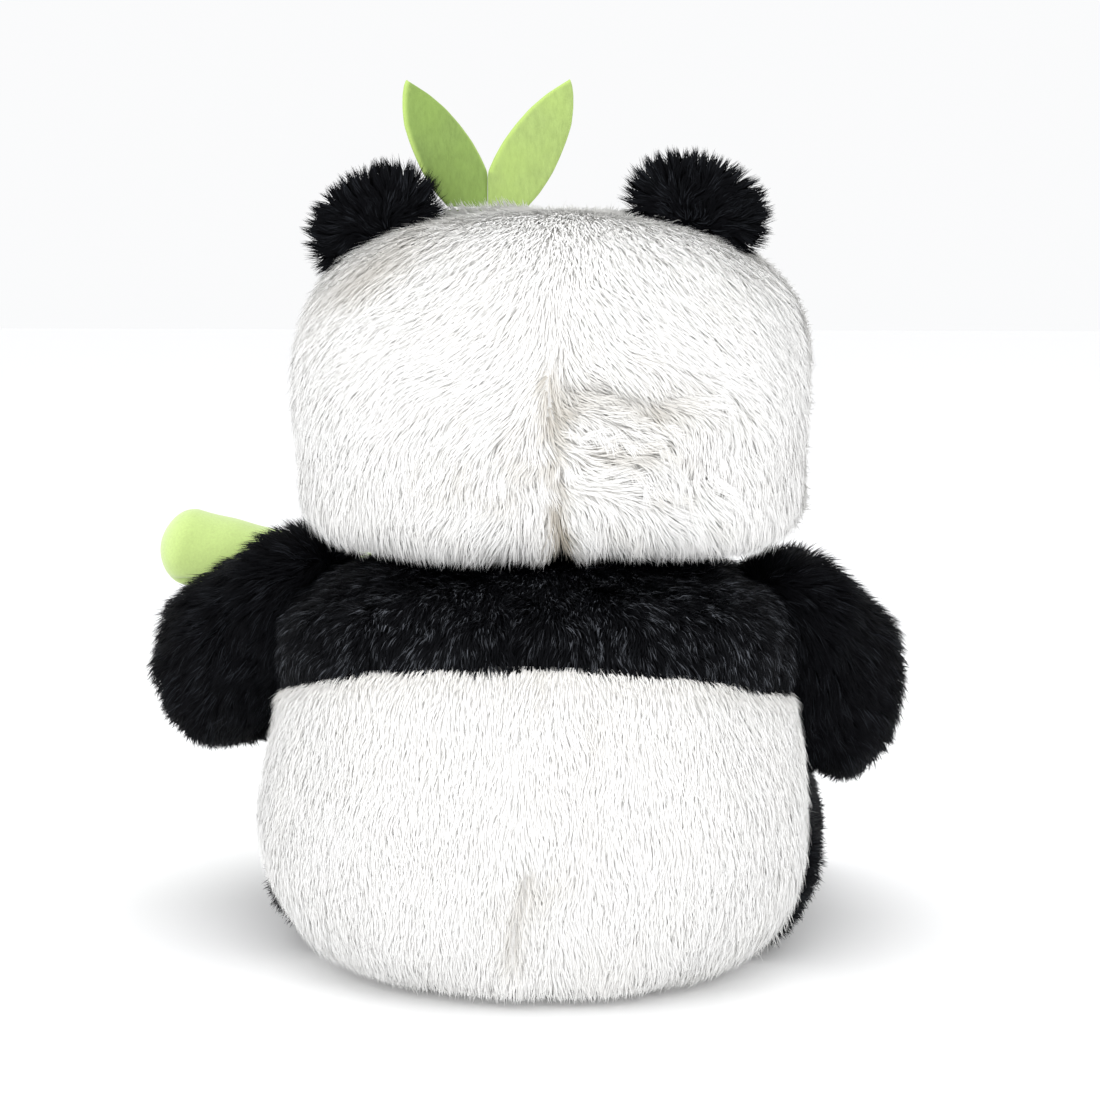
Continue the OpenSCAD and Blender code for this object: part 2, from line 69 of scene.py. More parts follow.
HEAD = ("head_back_left", "head_back_right", "face_left", "face_right")
HEAD_LO, HEAD_HI = corner(*HEAD)
BODY_LO, BODY_HI = corner("back_left", "back_right", "belly", "yoke_back", "yoke_front", "seat_panel")
NECK_LO, NECK_HI = corner("neck_stuffing")
LEAF_LO, LEAF_HI = corner("leaf_left", "leaf_right")
HX = (HEAD_LO[0] + HEAD_HI[0]) / 2
HY = (HEAD_LO[1] + HEAD_HI[1]) / 2
HEAD_A = (HEAD_HI[0] - HEAD_LO[0]) / 2
BODY_A = (BODY_HI[0] - BODY_LO[0]) / 2
DEPTH = 0.83  # depth of head and body as a share of their width
HEAD_ROUND = 2.35  # exponent of the head's rings
CROWN_ROUND = 2.9  # exponent of the head's upper outline
BODY_ROUND = 2.3  # exponent of the body's rings
HEAD_DROP = 47.0  # from the head's widest ring down to its underside
HEAD_MID = HEAD_LO[2] + HEAD_DROP
HEAD_UP = HEAD_HI[2] - HEAD_MID
BODY_TOP = BODY_HI[2]
NECK = np.array([HX / 2, HY / 2, (NECK_LO[2] + NECK_HI[2]) / 2])
NECK_RADIUS = 29.4
NECK_ROOM = 30.0  # radius of the space that the skins leave for the neck
SPROUT = np.array([(LEAF_LO[0] + LEAF_HI[0]) / 2, (LEAF_LO[1] + LEAF_HI[1]) / 2, LEAF_LO[2]])
UP = np.array([0, 0, 1.0])
FLOOR_GAP = 0.5  # pile stays this far above the floor
RUN_GAP = 0.9  # skins stay this far out of the space that the limbs sweep
BARE = 1.5  # cloth pressed in further than this grows no pile
MOST_TRIANGLES = 195000  # of one piece of pile


# ---------------------------------------------------------------- settings


def metres(name, text, default):
    """A setting in metres."""
    return bpy.props.FloatProperty(name=name, description=text, default=default, unit="LENGTH")


def colour(name, text, default):
    """A colour setting."""
    return bpy.props.FloatVectorProperty(
        name=name, description=text, default=default, size=4, min=0.0, max=1.0, subtype="COLOR")


class PandaPile(bpy.types.PropertyGroup):
    """Lengths and closeness of the pile."""

    head: metres("Head", "Length of the pile on the head", 0.0105)
    body: metres("Body", "Length of the pile on the lower body", 0.0090)
    yoke: metres("Yoke", "Length of the pile on the shoulders", 0.0062)
    limb: metres("Limbs", "Length of the pile on arms and legs", 0.0105)
    ear: metres("Ears", "Length of the pile round the ears", 0.0100)
    strand: metres("Strand", "Width of one strand at its root", 0.00043)
    per_cm2: bpy.props.FloatProperty(
        name="Closeness", description="Strands on a square centimetre of cloth", default=195.0, min=10.0)


class PandaCloth(bpy.types.PropertyGroup):
    """Colours of the cloths, felt, thread and moulded pieces."""

    white_tip: colour("White pile", "Tips of the white pile", (0.972, 0.973, 0.968, 1))
    white_root: colour("White ground", "Roots and ground of the white pile", (0.958, 0.952, 0.935, 1))
    black_tip: colour("Black pile", "Tips of the black pile", (0.0050, 0.0054, 0.0068, 1))
    black_root: colour("Black ground", "Roots and ground of the black pile", (0.0012, 0.0012, 0.0016, 1))
    bamboo: colour("Bamboo velour", "Short green cloth of the stick", (0.575, 0.745, 0.26, 1))
    leaf: colour("Leaf felt", "Face of the leaf felt", (0.345, 0.458, 0.155, 1))
    leaf_rim: colour("Leaf rim", "Cut rim of the leaf felt", (0.47, 0.64, 0.18, 1))
    thread: colour("Thread", "Ties round the stick's necks", (0.30, 0.48, 0.10, 1))
    plastic: colour("Eyes", "Moulded eyes", (0.006, 0.005, 0.005, 1))
    nose: colour("Nose", "Satin stitches of the nose", (0.010, 0.009, 0.010, 1))
    sole: colour("Soles", "Short cloth of the soles", (0.022, 0.022, 0.026, 1))


# ---------------------------------------------------------------- arrays


def unit(v):
    """Each vector of an array divided by its own length."""
    return v / np.maximum(np.linalg.norm(v, axis=-1, keepdims=True), 1e-9)


def dot(a, b):
    """Row by row dot product, kept as a column."""
    return np.sum(a * b, axis=-1, keepdims=True)


def spow(x, p):
    """Signed power, which closes a superellipse round all four quarters."""
    return np.sign(x) * np.abs(x) ** p


def smooth(a, b, x):
    """0 below a, 1 above b, and the cubic 3t^2 - 2t^3 in between."""
    t = np.clip((np.asarray(x, float) - a) / (b - a), 0, 1)
    return t * t * (3 - 2 * t)


def bell(x, width):
    """1 at 0, falling as e to the minus (x / width) squared."""
    return np.exp(-((x / width) ** 2))


def waves(p, size, seed, count=7):
    """A smooth random value of about -1 to 1: a sum of sines along random directions whose
    wavelengths are near size."""
    rng = np.random.default_rng(seed)
    k = unit(rng.normal(size=(count, 3))) * TAU / (size * rng.uniform(0.7, 1.5, (count, 1)))
    return np.sin(p @ k.T + rng.uniform(0, TAU, count)).sum(-1) / np.sqrt(count) * 0.9


def spots(cell, seed):
    """Three random numbers in 0 to 1 for each whole-number cell, by mixing its indices."""
    c = cell.astype(np.int64)
    h = (c[..., 0] * 73856093) ^ (c[..., 1] * 19349663) ^ (c[..., 2] * 83492791) ^ (seed * 2654435761)
    out = []
    for m in (0x9E3779B1, 0x85EBCA77, 0xC2B2AE3D):
        v = (h * m) & 0xFFFFFFFF
        v = ((v ^ (v >> 15)) * 0x2C1B3C6D) & 0xFFFFFFFF
        v = (v ^ (v >> 13)) & 0xFFFFFF
        out.append(v / float(0x1000000))
    return np.stack(out, -1)


def tuft(p, size, seed):
    """For each point, the step to the nearest of the random tuft centres, one in each cube
    of that size, and one random number of that centre."""
    base = np.floor(p / size)
    best = np.full(len(p), 1e9)
    step = np.zeros_like(p)
    own = np.zeros(len(p))
    for i in (-1, 0, 1):
        for j in (-1, 0, 1):
            for k in (-1, 0, 1):
                cell = base + (i, j, k)
                r = spots(cell, seed)
                d = (cell + r) * size - p
                far = np.sum(d * d, -1)
                near = far < best
                best[near] = far[near]
                step[near] = d[near]
                own[near] = r[near, 0]
    return step, own


# ---------------------------------------------------------------- meshes


def put(name, verts, quads, tris, body, slot, material, marks=None, normals=None):
    """A mesh object from millimetre points, riding on a body. Marks are float attributes on
    the points, and normals are the directions that the points are lit by."""
    quads = np.asarray(quads, np.int32).reshape(-1, 4)
    tris = np.asarray(tris, np.int32).reshape(-1, 3)
    mesh = bpy.data.meshes.new(name)
    mesh.vertices.add(len(verts))
    mesh.vertices.foreach_set("co", (np.asarray(verts, np.float64) * 0.001).astype(np.float32).ravel())
    mesh.loops.add(quads.size + tris.size)
    mesh.loops.foreach_set("vertex_index", np.concatenate([quads.ravel(), tris.ravel()]))
    mesh.polygons.add(len(quads) + len(tris))
    starts = np.concatenate([np.arange(len(quads)) * 4, quads.size + np.arange(len(tris)) * 3])
    mesh.polygons.foreach_set("loop_start", starts.astype(np.int32))
    mesh.polygons.foreach_set("use_smooth", np.ones(len(starts), bool))
    mesh.update(calc_edges=True)
    for key, value in (marks or {}).items():
        layer = mesh.attributes.new(key, "FLOAT", "POINT")
        layer.data.foreach_set("value", np.asarray(value, np.float32).ravel())
    if normals is not None:
        layer = mesh.attributes.new("custom_normal", "FLOAT_VECTOR", "POINT")
        layer.data.foreach_set("vector", unit(normals).astype(np.float32).ravel())
    mesh.materials.append(material)
    obj = bpy.data.objects.new(name, mesh)
    bpy.context.scene.collection.objects.link(obj)
    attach(obj, body)
    return obj


def stack(rows, lo, hi):
    """Points and faces of a closed skin: each row of points goes once round, quads join the
    rows, and a fan closes each end at one point. The faces are turned so that the signed
    volume is positive, which points them outwards."""
    m, n = rows.shape[:2]
    verts = np.concatenate([rows.reshape(-1, 3), [lo], [hi]])
    i, j = np.meshgrid(np.arange(m - 1), np.arange(n), indexing="ij")
    a, b = i * n + j, i * n + (j + 1) % n
    quads = np.stack([a, b, b + n, a + n], -1).reshape(-1, 4)
    j = np.arange(n)
    k = (j + 1) % n
    tris = np.concatenate([
        np.stack([np.full(n, m * n), k, j], -1),
        np.stack([np.full(n, m * n + 1), (m - 1) * n + j, (m - 1) * n + k], -1)])
    v = verts[quads]
    vol = np.sum(v[:, 0] * np.cross(v[:, 1] - v[:, 3], v[:, 2] - v[:, 0]))
    if vol < 0:
        quads, tris = quads[:, ::-1], tris[:, ::-1]
    return verts, quads, tris


def lie(rows):
    """Outward direction at each point of a closed grid: the cross product of the steps along
    the two parameters, with the sign that points away from the rows' middles."""
    du = np.gradient(rows, axis=0)
    dv = np.roll(rows, -1, 1) - np.roll(rows, 1, 1)
    n = unit(np.cross(dv, du))
    middle = rows.mean(1, keepdims=True)
    out = rows - middle + (middle - rows.mean((0, 1))) * 0.6
    if np.sum(n * out) < 0:
        n = -n
    return n


def skin(name, rows, lo, hi, body, slot, material, replaces=(), marks=None):
    """A stuffed closed piece from its rows."""
    verts, quads, tris = stack(rows, lo, hi)
    if marks is not None:
        marks = {k: np.append(v.ravel(), [v[0].mean(), v[-1].mean()]) for k, v in marks.items()}
    obj = put(name, verts, quads, tris, body, slot, material, marks)
    if replaces:
        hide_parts(*replaces)
    return obj


def plush(name, rows, lo, hi, body, cloth, replaces):
    """A stuffed skin of the white or the black pile cloth."""
    return skin(name, rows, lo, hi, body, f"{cloth}_pile", ground_of(cloth), replaces)


def sow(rows, normals, per_mm2, rng, keep=None):
    """Points spread evenly by area over a closed grid. A running total of the cells' areas is
    stepped through in equal jittered steps, and the place inside a cell is bilinear. Returns
    points, outward directions and the grid row of each."""
    p = np.concatenate([rows, rows[:, :1]], 1)
    n = np.concatenate([normals, normals[:, :1]], 1)
    a, b, c, d = p[:-1, :-1], p[1:, :-1], p[1:, 1:], p[:-1, 1:]
    area = np.linalg.norm(np.cross(c - a, d - b), axis=-1) / 2
    if keep is not None:
        k = np.concatenate([keep, keep[:, :1]], 1)
        area = area * (k[:-1, :-1] + k[1:, :-1] + k[1:, 1:] + k[:-1, 1:]) / 4
    total = np.cumsum(area.ravel())
    count = int(total[-1] * per_mm2)
    at = (np.arange(count) + rng.random(count)) / count * total[-1]
    cell = np.minimum(np.searchsorted(total, at), area.size - 1)
    i, j = cell // area.shape[1], cell % area.shape[1]
    u, v = rng.random((2, count, 1))

    def mix(g):
        """Value at (u, v) between a cell's four corners."""
        near = g[i, j] * (1 - u) + g[i + 1, j] * u
        far = g[i, j + 1] * (1 - u) + g[i + 1, j + 1] * u
        return near * (1 - v) + far * v

    return mix(p), unit(mix(n)), i + u[:, 0]


def strands(name, body, cloth, p, n, comb, length, lift, width, seed,
            clump=0.5, clump_size=4.0, wild=0.25, shade=None, flat=0.68, twist=0.3):
    """Pile as tapered strands of two joints each. A strand leaves the cloth between the
    outward direction and the comb direction, bends over at half its length, and its tip is
    drawn to the middle of its tuft. Its points are lit mostly by the cloth's own direction.
    More than the most triangles of one piece makes several pieces, split by their order."""
    slot, material = pile_of(cloth)
    rng = np.random.default_rng(seed)
    k = len(p)
    length = np.broadcast_to(np.asarray(length, float), (k,)) * rng.uniform(0.72, 1.12, k)
    lift = np.broadcast_to(np.asarray(lift, float), (k,)) + rng.normal(0, 0.09, k)
    clump = np.broadcast_to(np.asarray(clump, float), (k,))
    wild = np.broadcast_to(np.asarray(wild, float), (k,))
    c = unit(comb - n * dot(comb, n) + 1e-6)
    side = np.cross(n, c)
    turn = wild * (waves(p, 22, seed + 1) * 0.8 + waves(p, 9, seed + 2) * 0.7) + rng.normal(0, 0.16, k)
    c = unit(c + side * turn[:, None])
    step, own = tuft(p + c * 2.0, clump_size, seed + 3)
    step = step - n * dot(step, n)
    low = np.clip(lift * (1 + 0.25 * (own - 0.5)) - 0.12, 0.06, 1.45)
    high = np.clip(lift * 1.25 + 0.06, 0.1, 1.5)
    d0 = n * np.sin(high)[:, None] + c * np.cos(high)[:, None]
    d1 = n * (np.sin(low) * 0.75)[:, None] + c * np.cos(low)[:, None]
    half = (length * 0.5)[:, None]
    mid = p + d0 * half + step * (clump * 0.4)[:, None]
    tip = p + d0 * half + unit(d1) * half + step * clump[:, None]
    root = p - n * 0.7
    for part_of in (root, mid, tip):
        part_of[:, 2] = np.maximum(part_of[:, 2], FLOOR_GAP)
    axis = unit(tip - root)
    s = unit(np.cross(axis, n) + 1e-6)
    roll = rng.normal(0, twist, (k, 1))
    s = s * np.cos(roll) + np.cross(axis, s) * np.sin(roll)
    w = (width * rng.uniform(0.75, 1.3, k) / 2)[:, None]
    verts = np.stack([root - s * w, root + s * w, mid + s * w * 0.85, mid - s * w * 0.85, tip], 1)
    face = np.cross(s, axis)
    face = face * np.sign(dot(face, n) + 1e-9)
    flat = np.broadcast_to(np.asarray(flat, float), (k,))[:, None]
    lit = n * flat + face * (1 - flat) + c * 0.12
    top = lit + axis * 0.15
    norms = np.stack([lit, lit, top, top, top], 1)
    tint = rng.random(k)
    # The shade values are painted shade, carried on the strands as the shade mark.
    painted_shade = np.zeros(k) if shade is None else shade
    marks = {
        "up": np.tile([0.0, 0.0, 0.5, 0.5, 1.0], k).reshape(k, 5),
        "tint": np.repeat(tint * 0.6 + own * 0.4, 5).reshape(k, 5),
        "shade": np.repeat(painted_shade, 5).reshape(k, 5)}
    pieces = max(1, -(-3 * k // MOST_TRIANGLES))
    for q in range(pieces):
        a, b = k * q // pieces, k * (q + 1) // pieces
        base = np.arange(b - a)[:, None] * 5
        quads = base + [0, 1, 2, 3]
        tris = base + [3, 2, 4]
        label = name if pieces == 1 else f"{name}_{q + 1}"
        put(label, verts[a:b].reshape(-1, 3), quads, tris, body, slot, material,
            {m: v[a:b] for m, v in marks.items()}, norms[a:b].reshape(-1, 3))


# ---------------------------------------------------------------- materials


class Cloth:
    """Node wiring shared by the materials."""

    def __init__(self, name):
        """A new material of that name and its shader."""
        self.material = bpy.data.materials.new(name)
        self.material.use_nodes = True
        self.tree = self.material.node_tree
        self.shader = self.tree.nodes["Principled BSDF"]

    def node(self, kind, **values):
        """A new node with its settings or, failing that, its inputs set."""
        made = self.tree.nodes.new(kind)
        for key, value in values.items():
            if hasattr(made, key):
                setattr(made, key, value)
            else:
                made.inputs[key.replace("_", " ").title()].default_value = value
        return made

    def link(self, source, target):
        """A wire from an output to an input."""
        self.tree.links.new(source, target)

    def mark(self, name):
        """The value of a mark that the mesh carries on its points."""
        return self.node("ShaderNodeAttribute", attribute_name=name).outputs["Fac"]

    def blend(self, share, a, b, kind="MIX"):
        """Colour a mixed with, or multiplied by, colour b by a share."""
        made = self.node("ShaderNodeMix", data_type="RGBA", blend_type=kind)
        for socket, value in ((0, share), (6, a), (7, b)):
            if hasattr(value, "is_linked"):
                self.link(value, made.inputs[socket])
            else:
                made.inputs[socket].default_value = value
        return made.outputs[2]

    def ramp(self, source, *stops):
        """A value turned into greys or colours by straight lines between the stops."""
        made = self.node("ShaderNodeValToRGB")
        ramp = made.color_ramp
        while len(ramp.elements) < len(stops):
            ramp.elements.new(0.5)
        for element, (place, value) in zip(ramp.elements, stops):
            element.position = place
            element.color = (value, value, value, 1) if np.isscalar(value) else value
        self.link(source, made.inputs[0])
        return made.outputs[0]

    def noise(self, scale, detail=3.0, stretch=None, rough=0.55):
        """Noise on object coordinates, which may be stretched along each axis."""
        place = self.node("ShaderNodeTexCoord").outputs["Object"]
        if stretch is not None:
            mapping = self.node("ShaderNodeMapping")
            mapping.inputs["Scale"].default_value = stretch
            self.link(place, mapping.inputs["Vector"])
            place = mapping.outputs["Vector"]
        made = self.node("ShaderNodeTexNoise")
        made.inputs["Scale"].default_value = scale
        made.inputs["Detail"].default_value = detail
        made.inputs["Roughness"].default_value = rough
        self.link(place, made.inputs["Vector"])
        return made.outputs["Fac"]

    def bump(self, source, strength, depth):
        """Fine relief from a value, fed to the shader's normal."""
        made = self.node("ShaderNodeBump")
        made.inputs["Strength"].default_value = strength
        made.inputs["Distance"].default_value = depth
        self.link(source, made.inputs["Height"])
        self.link(made.outputs["Normal"], self.shader.inputs["Normal"])

    def finish(self, base, roughness=0.6, sheen=0.0, **extra):
        """Sets the shader's inputs and returns the material."""
        if hasattr(base, "is_linked"):
            self.link(base, self.shader.inputs["Base Color"])
        else:
            self.shader.inputs["Base Color"].default_value = base
        if hasattr(roughness, "is_linked"):
            self.link(roughness, self.shader.inputs["Roughness"])
        else:
            self.shader.inputs["Roughness"].default_value = roughness
        self.shader.inputs["Sheen Weight"].default_value = sheen
        self.shader.inputs["Sheen Roughness"].default_value = 0.5
        for key, value in extra.items():
            self.shader.inputs[key.replace("_", " ")].default_value = value
        return self.material


def shade_of(c, k):
    """A colour made darker or lighter by a factor."""
    return (c[0] * k, c[1] * k, c[2] * k, 1)


def cloth_settings():
    """The scene's colours."""
    return bpy.context.scene.panda_cloth


def pile_settings():
    """The scene's lengths of pile."""
    return bpy.context.scene.panda_pile


def made(name, build):
    """The material of that name, built once."""
    name = "panda_" + name
    return bpy.data.materials.get(name) or build(name)


def pile_of(cloth):
    """Slot and material of the white, the black or the yoke's pile."""
    if cloth == "white":
        return "white_pile", made("white_pile", white_pile)
    return "black_pile", made(f"{cloth}_pile", black_pile)


def ground_of(cloth):
    """Material of the knitted ground under the white or the black pile."""
    return made(f"{cloth}_ground", white_ground if cloth == "white" else black_ground)


def white_pile(name):
    """White pile: cream roots to clear tips, the roots a little darker as painted shade deep in
    the pile, every strand a little different, faint cream tufts, and painted shade from the
    shade mark."""
    s, m = cloth_settings(), Cloth(name)
    # Roots darker than tips: the pile's own cream, and painted shade deep in the pile.
    up = m.ramp(m.mark("up"), (0.0, 0.0), (0.55, 0.75), (1.0, 1.0))
    body = m.blend(up, tuple(s.white_root), tuple(s.white_tip))
    body = m.blend(m.ramp(m.mark("tint"), (0.0, 0.0), (1.0, 0.16)), body, (0.88, 0.86, 0.82, 1), "MULTIPLY")
    cream = m.ramp(m.noise(38, 2.0), (0.45, 0.0), (0.75, 0.10))
    body = m.blend(cream, body, (0.90, 0.88, 0.83, 1), "MULTIPLY")
    # Painted shade: the shade mark darkens the pile towards grey beige along seams, under the fold, between
    # tufts, and where the ear and the yoke cast shadow.
    body = m.blend(m.mark("shade"), body, (0.50, 0.455, 0.38, 1), "MULTIPLY")
    return m.finish(body, 0.7, 0.1, Specular_IOR_Level=0.2)


def black_pile(name):
    """Black pile: near black, tips lighter than roots, with a cool sheen painted into the colour
    of some strands as glints. The yoke's pile has brighter painted glints, in patches."""
    s, m = cloth_settings(), Cloth(name)
    up = m.ramp(m.mark("up"), (0.0, 0.0), (0.6, 0.45), (1.0, 1.0))
    body = m.blend(up, tuple(s.black_root), tuple(s.black_tip))
    yoke = name == "panda_yoke_pile"
    # Painted glint: strands with a high tint take a paler cool colour in place of a real sheen.
    painted_glint = (0.20, 0.215, 0.245, 1) if yoke else (0.026, 0.029, 0.035, 1)
    share = m.ramp(m.mark("tint"), (0.0, 0.0), (0.66, 0.03), (1.0, 0.85))
    if yoke:
        share = m.blend(1.0, share, m.ramp(m.noise(34, 3.0), (0.3, 0.35), (0.65, 1.0)), "MULTIPLY")
    body = m.blend(share, body, painted_glint)
    body = m.blend(m.mark("shade"), body, (0.3, 0.3, 0.3, 1), "MULTIPLY")
    gloss = m.ramp(m.mark("tint"), (0.0, 0.65), (1.0, 0.42))
    return m.finish(body, gloss, 0.0, Specular_IOR_Level=0.02)


def white_ground(name):
    """Knitted ground under the white pile: cream, with fine knit bumps."""
    s, m = cloth_settings(), Cloth(name)
    grain = m.noise(900, 2.0)
    base = m.blend(m.ramp(grain, (0.3, 0.0), (0.7, 1.0)), shade_of(s.white_root, 0.95), tuple(s.white_root))
    m.bump(grain, 0.4, 0.0004)
    return m.finish(base, 0.9, 0.2)


def black_ground(name):
    """Knitted ground under the black pile."""
    s, m = cloth_settings(), Cloth(name)
    grain = m.noise(900, 2.0)
    base = m.blend(m.ramp(grain, (0.3, 0.0), (0.7, 1.0)), tuple(s.black_root), shade_of(s.black_tip, 0.6))
    m.bump(grain, 0.4, 0.0004)
    return m.finish(base, 0.9, 0.0, Specular_IOR_Level=0.02)


# ---------------------------------------------------------------- body and head shapes


def body_profile(u):
    """Half-width and height of the body from its seat's rim (u 0) to its top (u 1): a quarter
    superoval up to the widest ring, a smooth step in to the shoulders, and a quarter
    superoval over them."""
    wide, seat, shoulder, z1, z2, top = BODY_A, 58.0, 92.0, 60.0, 110.0, BODY_TOP
    f = np.clip(u / 0.4, 0, 1) * np.pi / 2
    a = seat + (wide - seat) * np.sin(f) ** 1.05
    z = z1 * (1 - np.abs(np.cos(f)) ** 0.91)
    g = np.clip((u - 0.4) / 0.2, 0, 1)
    a = np.where(u > 0.4, wide + (shoulder - wide) * g * g * (3 - 2 * g), a)
    z = np.where(u > 0.4, z1 + (z2 - z1) * g, z)
    h = np.clip((u - 0.6) / 0.4, 0, 1) * np.pi / 2
    a = np.where(u > 0.6, shoulder * np.abs(np.cos(h)) ** 0.667, a)
    z = np.where(u > 0.6, z2 + (top - z2) * np.sin(h) ** 0.667, z)
    return a, z


def head_profile(u):
    """Half-width and height of the head, from its underside (u 0) to its crown (u 1), as two
    superovals that meet at the widest ring."""
    f = np.pi * np.clip(u, 0, 0.5)
    lo_a = HEAD_A * np.sin(f) ** 0.36 * (1 - 0.08 * np.abs(np.cos(f)) ** 0.5)
    lo_z = HEAD_MID - HEAD_DROP * np.abs(np.cos(f)) ** 0.4
    g = np.pi * np.clip(u - 0.5, 0, 0.5)
    hi_a = HEAD_A * np.abs(np.cos(g)) ** (2 / CROWN_ROUND)
    hi_z = HEAD_MID + HEAD_UP * np.sin(g) ** (2 / CROWN_ROUND)
    return np.where(u < 0.5, lo_a, hi_a), np.where(u < 0.5, lo_z, hi_z)


def even(profile, count, lo, hi):
    """Parameters between lo and hi at which a profile's points stand evenly along its line."""
    u = np.linspace(lo, hi, 4000)
    a, z = profile(u)
    run = np.concatenate([[0], np.cumsum(np.hypot(np.diff(a), np.diff(z)))])
    return np.interp(np.linspace(0, run[-1], count), run, u)


def hoop(a, z, t, n, cx, cy):
    """Superellipse ring of half-width a, half-depth a times the depth share, exponent n."""
    x = cx + a * spow(np.cos(t), 2 / n)
    y = cy + DEPTH * a * spow(np.sin(t), 2 / n)
    return np.stack([x, y, z + 0 * t * a], -1)


def spaced(n, count):
    """Angles at which a superellipse's points stand evenly round it."""
    t = np.linspace(0, TAU, 6001)
    p = hoop(1.0, 0.0, t, n, 0, 0)
    run = np.concatenate([[0], np.cumsum(np.linalg.norm(np.diff(p, axis=0), axis=1))])
    return np.interp(np.arange(count) / count * run[-1], run, t)


def yoke_seam(t):
    """Height of the seam between white and black at angle t, highest at the back."""
    return 101 + 18 * np.maximum(0, np.sin(t)) ** 1.5


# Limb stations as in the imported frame: points, then side and up radii.
LEG_PATH = [[66.5, -18, 34.3], [67.5, -62, 34.3], [69.5, -105, 34], [70.5, -132, 34]]
LEG_RADII = [[34, 34], [34, 33.8], [33, 33], [32.5, 32.5]]
LIMBS = {
    "arm_left": ([[90, -22, 125], [125, -50, 97], [105, -98, 87.5], [80, -127.5, 99.5]],
                 [[25, 25], [21.5, 27], [18, 18], [19, 19]]),
    "arm_right": ([[-89, -22, 119], [-110, -50, 90], [-84, -104, 89], [-45, -134, 95]],
                  [[26, 26], [20.5, 30], [18, 18], [18.5, 18.5]]),
    "leg_left": (LEG_PATH, LEG_RADII),
    "leg_right": ([[-x, y, z] for x, y, z in LEG_PATH], LEG_RADII),
}


def along(stations, t):
    """Catmull-Rom curve through the stations at t, with straight continuations at its ends."""
    s = np.asarray(stations, float)
    s = np.concatenate([[2 * s[0] - s[1]], s, [2 * s[-1] - s[-2]]])
    i = np.clip(np.floor(t).astype(int), 0, len(s) - 4)
    f = (t - i)[:, None]
    a, b, c, d = s[i], s[i + 1], s[i + 2], s[i + 3]
    bend = (2 * a - 5 * b + 4 * c - d) * f * f
    return 0.5 * (2 * b + (c - a) * f + bend + (3 * b - a - 3 * c + d) * f ** 3)


def limb(name, end=1.0, around=72, run=64, cap=10):
    """Rows of a limb, and the direction of its path at each: a ball at its root, rings along
    its path, and a round or blunt end."""
    path, radii = LIMBS[name]
    last = len(path) - 1
    e = np.linspace(0, np.pi / 2, cap + 1)[1:-1]
    t = np.concatenate([np.zeros(cap - 1), np.linspace(0, last, run), np.full(cap - 1, last)])
    back = np.concatenate([-np.sin(e[::-1]), np.zeros(run), end * np.sin(e)])
    size = np.concatenate([np.cos(e[::-1]), np.ones(run), np.cos(e)])
    c, r = along(path, t), along(radii, t)
    w = unit(along(path, np.minimum(t + 0.02, last)) - along(path, np.maximum(t - 0.02, 0)))
    s = unit(np.cross(w, UP))
    u = np.cross(s, w)
    q = r.min(1)
    a = np.arange(around) / around * TAU
    across = (s * (r[:, 0] * size)[:, None])[:, None] * np.cos(a)[:, None]
    upward = (u * (r[:, 1] * size)[:, None])[:, None] * np.sin(a)[:, None]
    return (c + w * (back * q)[:, None])[:, None] + across + upward, w


def turned(p, pivot, degrees):
    """Points turned about an upright line."""
    a = np.radians(degrees)
    d = p - pivot
    x = d[..., 0] * np.cos(a) - d[..., 1] * np.sin(a)
    y = d[..., 0] * np.sin(a) + d[..., 1] * np.cos(a)
    return np.stack([x, y, d[..., 2]], -1) + pivot


def limb_room(p, extra):
    """How deep each point is inside the space that the limbs and the neck sweep: the largest
    of the limb's radius plus the extra less the distance to its path, over its rest and open
    poses."""
    deep = extra + NECK_ROOM - np.linalg.norm(p - NECK, axis=-1)
    for name, (path, radii) in LIMBS.items():
        side = 1 if path[0][0] > 0 else -1
        t = np.linspace(0, 2.2, 30)
        c, r = along(path, t), along(radii, t).min(1)
        for degrees in ((0, 15, 30, 45) if name[0] == "a" else (0, 10)):
            q = turned(p, np.array(path[0]), -side * degrees)
            for a, b in zip(c, r):
                deep = np.maximum(deep, extra + b - np.sqrt(((q - a) ** 2).sum(-1)))
    return deep


def hollowed(rows, core, extra):
    """Pushes the points of a skin that stand in the limbs' space towards the core until they
    are out of it, in steps of a millimetre. Returns the rows and how far each point went."""
    flat = rows.reshape(-1, 3).copy()
    moved = np.zeros(len(flat))
    inside = np.flatnonzero(limb_room(flat, extra) > 0)
    way = unit(np.asarray(core, float) - flat)
    for _ in range(60):
        if not len(inside):
            break
        flat[inside] += way[inside]
        moved[inside] += 1
        inside = inside[limb_room(flat[inside], extra) > 0]
    return flat.reshape(rows.shape), moved.reshape(rows.shape[:2])


WHORL_X = HX - 2.4


def head_seam_x(z):
    """The back seam's own line, a little crooked, from the whorl down to the neck."""
    return np.interp(z, [152, 163, 187, 205, 222], [HX - 7.1, HX - 6.7, HX - 5.4, HX - 4.0, HX - 4.6])


def fold_line(r):
    """Height of the pressed fold beside the whorl, at the distance r to its right."""
    return 217 - 0.16 * r


def back_seam_x(z):
    """The lower back's seam, which leans a little from the yoke to the seat."""
    return np.interp(z, [0, 21, 35, 47, 56, 80, 110], [2.6, 3.0, 2.0, -1.4, -2.6, -4.4, -6.6])


def back_seam_shows(z):
    """Where the lower back's seam pulls the pile apart: low down and just under the yoke."""
    return np.maximum(smooth(60, 50, z) * smooth(12, 22, z), 0.4 * smooth(98, 108, z))


